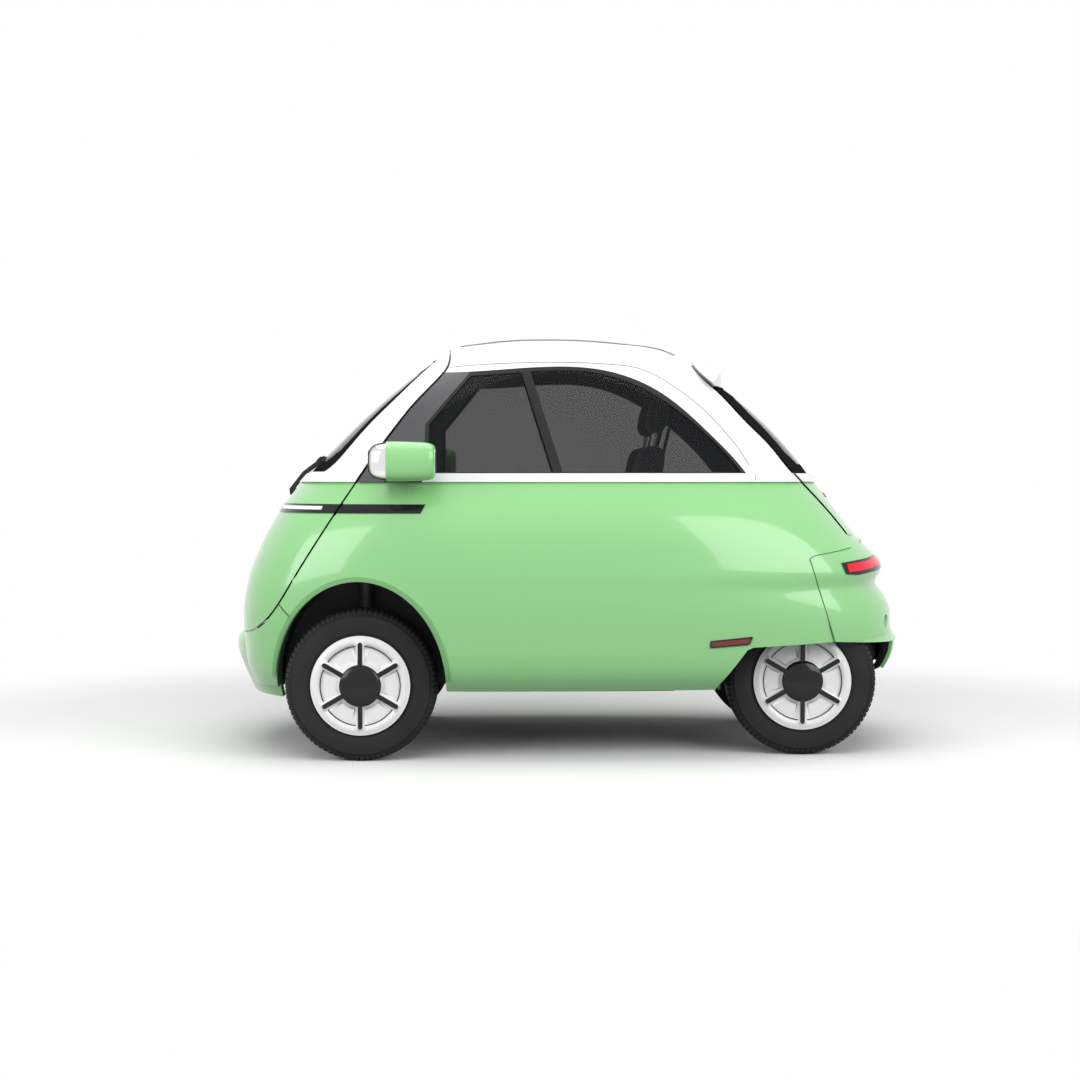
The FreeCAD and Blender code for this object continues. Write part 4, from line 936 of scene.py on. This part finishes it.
lean = Matrix.Translation(BACK_FOOT) @ Matrix.Rotation(BACK_LEAN, 4, "Y")
upright = Matrix.Identity(4)
cushion_pads, back_pads = [], []
for side in (-1, 1):
    y_from, y_to = sorted((side * 0.006, side * 0.520))
    channels = (side * 0.15, side * 0.38)
    cushion_pads.append(inflated("seat pad", (-0.330, y_from, 0.4585), (0.130, y_to, 0.588),
                                 0.030, upright, channels))
    back_pads.append(inflated("back pad", (0.0, y_from, 0.05), (0.095, y_to, 0.684), 0.028, lean,
                              channels))
    middle = side * SEAT_MIDDLE
    back_pads.append(inflated("headrest pad", (0.0, middle - 0.115, 0.706),
                              (0.088, middle + 0.115, 0.856), 0.028, lean))
seat_piece = finished("seat pads", joined("seat pads", cushion_pads), seat_cloth, "chassis",
                      replaced=("seat_cushion",))
back_piece = finished("back pads", joined("back pads", back_pads), seat_cloth, "chassis",
                      replaced=("seat_back",))
posts, guides = [], []
for side in (-1, 1):
    for y in (side * 0.235, side * 0.305):
        post = rounded_block((0.041, y - 0.006, 0.660), (0.053, y + 0.006, 0.730), 0.004)
        posts.append(placed(mesh_from("post", post), lean))
    for x_low, z_low, x_high, z_high in (
            (0.316, 1.050, 0.346, 1.161), (0.345, 1.040, 0.375, 1.172)):
        axis = Vector((x_high - x_low, 0, z_high - z_low))
        turn = axis.to_track_quat("Z", "Y").to_matrix().to_4x4()
        rod = rounded_block((-0.006, -0.006, 0), (0.006, 0.006, axis.length), 0.004)
        place = Matrix.Translation((x_low, side * SEAT_MIDDLE, z_low))
        guides.append(placed(mesh_from("belt guide", rod), place @ turn))
finished("headrest posts", joined("headrest posts", posts), chrome, "chassis")
finished("belt guides", joined("belt guides", guides), black_plastic, "chassis")
print("pads", len(seat_piece.data.polygons), len(back_piece.data.polygons))

# %% [markdown]
# The mirror pods are rounded boxes. Their front quarter is a chromed headlamp, the rest is
# painted green and ends in the mirror's glass. A glossy pod shows every facet, so both parts are
# made again from the sections that the CAD pod is lofted through, with more steps between them.

# %% Mirror pods
POD_SECTIONS = [
    (0, 0.44), (0.02, 0.62), (0.07, 0.81), (0.16, 0.93), (0.2743, 0.987), (0.45, 1),
    (0.70, 0.985), (0.86, 0.95), (0.94, 0.89), (0.985, 0.79), (1, 0.68)]
POD_SEAM_ROW = 4
POD_SIZE = (0.226, 0.140, 0.134)
POD_MIDDLE = (-0.566, 0.775, 1.046)
POD_SQUARENESS = 0.80
POD_STEPS = 16


def pod_loop(side, along, share, grow=0.0):
    """A closed loop round the pod, at a share of its length and of its largest section."""
    length, width, height = POD_SIZE
    first, second, third, last = curve_weights(np.linspace(0, 1, POD_STEPS + 1))
    across = (share * width / 2 + grow) * (second * POD_SQUARENESS + third + last)
    up = (share * height / 2 + grow) * (first + second + third * POD_SQUARENESS)
    quarter = np.column_stack([across, up])
    half = np.vstack([quarter, quarter[-2::-1] * (1, -1)])
    plane = np.vstack([half, half[-2:0:-1] * (-1, 1)])
    x = POD_MIDDLE[0] + (along - 0.5) * length
    return np.column_stack([
        np.full(len(plane), x), side * POD_MIDDLE[1] + plane[:, 0], POD_MIDDLE[2] + plane[:, 1]])


def pod_rows(side, grow):
    """All the loops of a pod that is grown by this much, with smooth steps between them."""
    return smooth_levels([pod_loop(side, along, share, grow) for along, share in POD_SECTIONS])


def pod_rings(side, rings):
    """Loops round the pod, each at a place along it and a share of its largest section."""
    return [pod_loop(side, along, share) for along, share in rings]


LENS_RINGS = [(0.012, 0.56), (0.006, 0.545), (-0.001, 0.47), (-0.005, 0.30)]
BEZEL_RINGS = [(0.016, 0.585), (0.003, 0.575), (0.003, 0.52), (0.016, 0.51)]
MIRROR_RINGS = [(0.996, 0.66), (1.0045, 0.655)]
POD_PARTS = [
    ("headlamp housings", lamp_chrome, "lamp_lens", ("headlamps",)),
    ("mirror shells", green_paint, "green_paint", ("mirror_housings",)),
    ("headlamp lenses", lamp_white, "lamp_lens", ()),
    ("headlamp bezels", gloss_black, "black_gloss", ()),
    ("mirror glasses", mirror_glass, "lamp_lens", ())]
seam = POD_SEAM_ROW * LEVEL_STEPS
pod_meshes = {row[0]: [] for row in POD_PARTS}
for side in (-1, 1):
    front = pod_rows(side, -0.0004)[:seam + 1]
    rear = pod_rows(side, 0.0008)[seam:]
    lens, bezel, glass = (
        pod_rings(side, rings) for rings in (LENS_RINGS, BEZEL_RINGS, MIRROR_RINGS))
    for name, build, angle in (
            ("headlamp housings", loft(front), 40), ("mirror shells", loft(rear), 40),
            ("headlamp lenses", loft(lens), 50), ("mirror glasses", loft(glass), None),
            ("headlamp bezels", loft(bezel + bezel[:1], False, False), None)):
        mesh = mesh_from(name, build)
        pod_meshes[name].append(shade_smooth(mesh, angle) if angle else mesh)
for name, material, slot, replaced in POD_PARTS:
    finished(name, joined(name, pod_meshes[name]), material, "chassis", replaced)

# %% [markdown]
# Panels of one colour meet in fine seams, and thin beads run along their edges. Each is a narrow
# ribbon on the body: its line is drawn in side view and thrown onto the surface.


# %% Seams and beads
def on_flank(side, x, z):
    """The place on the body's side at this x and height, with its outward normal."""
    return body_form.hit((x * MM, 0, z * MM), (0, side, 0))


def on_tail(y, z):
    """The place on the body's rear at this y and height, with its outward normal."""
    return body_form.hit((0, y * MM, z * MM), (1, 0, 0))


def smooth_line(points, steps=6):
    """More points on a Catmull-Rom curve through the points."""
    points = [np.array(point, float) for point in points]
    points = [2 * points[0] - points[1]] + points + [2 * points[-1] - points[-2]]
    line = []
    for a, b, c, d in zip(points, points[1:], points[2:], points[3:]):
        for t in np.linspace(0, 1, steps, endpoint=False):
            line.append(0.5 * (2 * b + (c - a) * t + (2 * a - 5 * b + 4 * c - d) * t ** 2
                               + (3 * b - a - 3 * c + d) * t ** 3))
    return line + [points[-2]]


def ribbon(places, width, proud, sunk=0.001):
    """A thin strip along places, which are pairs of a point and its outward normal."""
    rows = []
    for i, (place, normal) in enumerate(places):
        ahead = places[min(i + 1, len(places) - 1)][0]
        behind = places[max(i - 1, 0)][0]
        sideways = (ahead - behind).cross(normal).normalized() * width / 2
        rows.append([place + sideways - normal * sunk, place + sideways + normal * proud,
                     place - sideways + normal * proud, place - sideways - normal * sunk])
    return loft(rows)


def strips(name, lines_on, width, prouds, material, body, sunk=0.001):
    """One piece of ribbons, along the lines that lines_on(side) gives for each side."""
    parts = [mesh_from(name, ribbon(line, width, proud, sunk))
             for side in (-1, 1) for line, proud in zip(lines_on(side), prouds)]
    return finished(name, joined(name, parts), material, body)


def flank_line(side, points, steps=6):
    """Places on one flank along a curve through points of the side view."""
    return [on_flank(side, x, z) for x, z in smooth_line(points, steps)]


RAIL_SEAM = [(-418, 1384), (-239, 1393), (-27, 1397), (159, 1390), (255, 1376), (350, 1331),
             (476, 1236), (585, 1117), (640, 1034)]
BELT_SEAMS_X = (655, 808)
BELT_SEAM_Z = (1004, 994, 984, 977)
BELT_PROUD = 0.008


def belt_lines(side):
    """The short upright seams of the belt, which stands proud of the body."""
    lines = [[on_flank(side, x, z) for z in BELT_SEAM_Z] for x in BELT_SEAMS_X]
    return [[(place + normal * BELT_PROUD, normal) for place, normal in line] for line in lines]


strips("roof seams", lambda side: [flank_line(side, RAIL_SEAM)], 0.0024, (0.0012,), seam_and_reflection_grey,
       "chassis")
strips("belt seams", belt_lines, 0.0022, (0.0012, 0.0012), seam_and_reflection_grey, "chassis")

# A thin grey strip along the roof's outline is a painted reflection: the grey that the white roof
# shows as it turns away from the eye. It lies where the roof turns away from the eye, smoothed
# along the car.
EYE_HEIGHT = 1.0
EYE_DISTANCE = 7.03
BELOW_ROOF = 1.25


def roof_turn(x):
    """How far from the middle the roof at this x stands highest to an eye at the car's side."""
    best = (0, 0)
    for y in np.linspace(0.10, 0.50, 41):
        place = body_form.hit((x, -y, BELOW_ROOF), (0, 0, 1))[0]
        if place:
            best = max(best, ((place.z - EYE_HEIGHT) / (EYE_DISTANCE - y), y))
    return best[1]


outline_x = np.linspace(-0.392, 0.400, 34)
outline_y = np.polyval(np.polyfit(outline_x, [roof_turn(x) for x in outline_x], 2), outline_x)
print("roof outline reflection from", outline_y.min(), "to", outline_y.max())
strips("roof rails", lambda side: [[
    body_form.hit((x, side * y, BELOW_ROOF), (0, 0, 1)) for x, y in zip(outline_x, outline_y)]],
    0.008, (0.0045,), seam_and_reflection_grey, "chassis")

# The door and the tailgate shut against flanges in the body's colours, so each gap is a thin
# line. A flange lies on the body's side of its gap, so its line is the shut line, moved there.
DOOR_EDGE = [(-702, 1036), (-741, 972), (-778, 914), (-891, 737), (-955, 636), (-1003, 560),
             (-1060, 490), (-1130, 445)]
TAILGATE_EDGE = [(836, 982), (900, 909), (1014, 782)]
DOOR_SHIFT = (2.4, -1.6)
TAILGATE_SHIFT = (-2.1, -1.8)
for name, edge, shift, z_from, z_to, material, slot in (
        ("door flange low", DOOR_EDGE, DOOR_SHIFT, 500, 868, green_paint, "green_paint"),
        ("door flange bar", DOOR_EDGE, DOOR_SHIFT, 872, 900, gloss_black, "black_gloss"),
        ("door flange high", DOOR_EDGE, DOOR_SHIFT, 902, 976, green_paint, "green_paint"),
        ("tailgate flange", TAILGATE_EDGE, TAILGATE_SHIFT, 786, 974, green_paint,
         "green_paint")):
    line = [(x + shift[0], z + shift[1]) for x, z in smooth_line(edge, 12) if z_from < z < z_to]
    strips(name, lambda side: [[on_flank(side, x, z) for x, z in line]], 0.0026, (-0.0004,),
           material, "chassis", sunk=0.006)

# The front wheel arch is an ellipse with a rolled lip, painted darker green as the shade where it
# faces down.
ARCH_MIDDLE = (-724, 266.5)
ARCH_SIZE = (301, 366)
LIP_INSET = 9
lip_line = []
for angle in math.pi * (0.02 + 0.96 * np.arange(61) / 60):
    lip_line.append((ARCH_MIDDLE[0] + (ARCH_SIZE[0] + LIP_INSET) * math.cos(angle),
                     ARCH_MIDDLE[1] + (ARCH_SIZE[1] + LIP_INSET) * math.sin(angle)))
strips("arch lips", lambda side: [[
    pair for pair in (on_flank(side, x, z) for x, z in lip_line) if pair[0] is not None]],
    0.016, (0.0032,), lip_painted_shade, "chassis", sunk=0.004)

# The side reflectors are dark red with a black rim, and the rear lamps are red in a black frame.
REFLECTOR = [(492, 426), (637, 439), (625, 415), (490, 405)]
reflector_parts = []
for side in (-1, 1):
    first, second, third, fourth = (np.array(corner) for corner in REFLECTOR)
    line = []
    for share in np.arange(13) / 12:
        upper = first * (1 - share) + second * share
        lower = fourth * (1 - share) + third * share
        line.append(on_flank(side, *((upper + lower) / 2)))
    edge = []
    for (x_from, z_from), (x_to, z_to) in zip(REFLECTOR, REFLECTOR[1:] + REFLECTOR[:1]):
        for share in np.linspace(0, 1, 6, endpoint=False):
            edge.append(on_flank(side, x_from + (x_to - x_from) * share,
                                 z_from + (z_to - z_from) * share))
    for name, build, material in (
            ("reflector", ribbon(line, 0.0165, 0.0048), dark_red_lens),
            ("reflector rim", ribbon(edge + edge[:1], 0.0035, 0.0052), gloss_black)):
        mesh = mesh_from(name, build)
        mesh.materials.append(material)
        reflector_parts.append(mesh)
finished("side reflectors", joined("side reflectors", reflector_parts), None, "chassis")
frame["nodes"]["rear_lamps"].data.materials[0] = gloss_black
LAMP_LINE = [(988, 669), (1035, 672), (1090, 677)]
LAMP_TAIL_Y = (350, 330, 305, 280, 250, 220, 190, 166)
LAMP_TAIL_Z = 682
strips("rear lenses", lambda side: [
    flank_line(side, LAMP_LINE) + [on_tail(side * y, LAMP_TAIL_Z) for y in LAMP_TAIL_Y]],
    0.031, (0.0068,), red_lens, "chassis")

# The seams between the bumpers and the body sides. The rear one runs from the tail to the arch.
REAR_SEAM_TAIL = [(0, 762), (150, 760), (300, 752)]
REAR_SEAM_FLANK = [(1010, 738), (930, 726), (866, 717), (847, 706), (850, 690), (885, 580),
                   (932, 430), (940, 406)]
FRONT_SEAM = [(-1007, 549), (-990, 530), (-966, 506)]


def bumper_lines(side):
    """The rear bumper's seam and the front bumper's."""
    tail = [on_tail(side * y, z) for y, z in smooth_line(REAR_SEAM_TAIL, 8)]
    return [tail + flank_line(side, REAR_SEAM_FLANK, 8), flank_line(side, FRONT_SEAM)]


strips("bumper seams", bumper_lines, 0.0026, (0.0028, 0.0038), seam_green, "chassis")

# %% [markdown]
# The floor is plain and pale and fades to white, as in a product picture. Its shade near the car
# is real, so the soft shadow under the car stays.

# %% Floor and background
floor_mesh = mesh_from("floor", lambda bm: bmesh.ops.create_grid(bm, size=30))
floor = bpy.data.objects.new("floor", floor_mesh)
floor.location.z = -0.0005
scene.collection.objects.link(floor)


def add_eye_rays(tree, nodes):
    """Adds a node named through, which is 1 for camera, glossy and transmission rays."""
    nodes |= add_nodes(tree, {
        "rays": "ShaderNodeLightPath", "seen": "ShaderNodeMath", "through": "ShaderNodeMath"})
    nodes["seen"].operation = nodes["through"].operation = "MAXIMUM"
    connect(tree, nodes, [
        ("rays", "Is Camera Ray", "seen", 0), ("rays", "Is Glossy Ray", "seen", 1),
        ("seen", 0, "through", 0), ("rays", "Is Transmission Ray", "through", 1)])


def floor_material(bounce, shade, fade_from, fade_to):
    """A pale floor that fades to white further out, and throws little light back."""
    material = bpy.data.materials.new("Floor")
    material.use_nodes = True
    tree = material.node_tree
    tree.nodes.clear()
    nodes = add_nodes(tree, {
        "place": "ShaderNodeTexCoord", "length": "ShaderNodeVectorMath",
        "fade": "ShaderNodeMapRange", "shade": "ShaderNodeMapRange",
        "diffuse": "ShaderNodeBsdfDiffuse", "glow": "ShaderNodeEmission",
        "both": "ShaderNodeMath", "mix": "ShaderNodeMixShader",
        "out": "ShaderNodeOutputMaterial"})
    add_eye_rays(tree, nodes)
    nodes["length"].operation = "LENGTH"
    nodes["both"].operation = "MULTIPLY"
    nodes["fade"].interpolation_type = "SMOOTHSTEP"
    set_inputs(nodes["fade"], From_Min=fade_from, From_Max=fade_to)
    set_inputs(nodes["shade"], To_Min=bounce, To_Max=shade)
    connect(tree, nodes, [
        ("place", "Object", "length", 0), ("length", "Value", "fade", "Value"),
        ("through", 0, "shade", "Value"), ("shade", "Result", "diffuse", "Color"),
        ("through", 0, "both", 0), ("fade", "Result", "both", 1), ("both", 0, "mix", "Fac"),
        ("diffuse", 0, "mix", 1), ("glow", 0, "mix", 2), ("mix", 0, "out", "Surface")])
    return material


floor_mesh.materials.append(floor_material(0.22, 0.86, 1.7, 3.4))


def light_world(light_level):
    """White for the eye and in reflections, and a plain level of light on everything."""
    world = bpy.data.worlds.new("Studio")
    world.use_nodes = True
    scene.world = world
    tree = world.node_tree
    tree.nodes.clear()
    nodes = add_nodes(tree, {
        "level": "ShaderNodeMapRange", "background": "ShaderNodeBackground",
        "out": "ShaderNodeOutputWorld"})
    add_eye_rays(tree, nodes)
    set_inputs(nodes["level"], To_Min=light_level, To_Max=1.0)
    set_inputs(nodes["background"], Color=(1, 1, 1, 1))
    connect(tree, nodes, [
        ("through", 0, "level", "Value"), ("level", "Result", "background", "Strength"),
        ("background", 0, "out", "Surface")])


light_world(0.30)

# %% [markdown]
# Four large soft lamps: one overhead, which makes the upper body the brightest part, a weak one
# on the camera's side, and two beside it whose reflections are the soft sheens on the flank.


# %% Lamps
def soft_lamp(name, place, target, size, power, height=None):
    lamp = bpy.data.lights.new(name, "AREA")
    lamp.shape = "RECTANGLE"
    lamp.size = size
    lamp.size_y = height or size
    lamp.energy = power
    holder = bpy.data.objects.new(name, lamp)
    holder.location = place
    holder.rotation_euler = (Vector(target) - Vector(place)).to_track_quat("-Z", "Y").to_euler()
    holder.visible_glossy = name != "camera side"
    scene.collection.objects.link(holder)
    return holder


soft_lamp("overhead", (0, 0, 5.2), (0, 0, 0), 6, 182)
soft_lamp("camera side", (-0.9, -5.5, 4.2), (0, 0, 0.9), 4, 120)
soft_lamp("rear flank", (4.15, -3.68, 2.62), (0.6, -0.7, 0.75), 5, 165, 2.6)
soft_lamp("front flank", (-4.35, -3.40, 2.30), (-0.75, -0.7, 0.75), 4, 120, 2.4)

# %% [markdown]
# The camera stands 7 m to the left of the car, a little ahead of its middle, 1 m above the floor
# and tilted two degrees down.

# %% Camera
camera_data = bpy.data.cameras.new("camera")
camera_data.lens = 61.43
camera_data.sensor_width = 36
camera = bpy.data.objects.new("camera", camera_data)
camera.location = (-0.098, -7.030, 1.000)
camera.rotation_euler = (math.radians(90 - 2.02), 0, 0)
scene.collection.objects.link(camera)
scene.camera = camera
scene.view_settings.view_transform = "Standard"

# %% Update the view layer
bpy.context.view_layer.update()
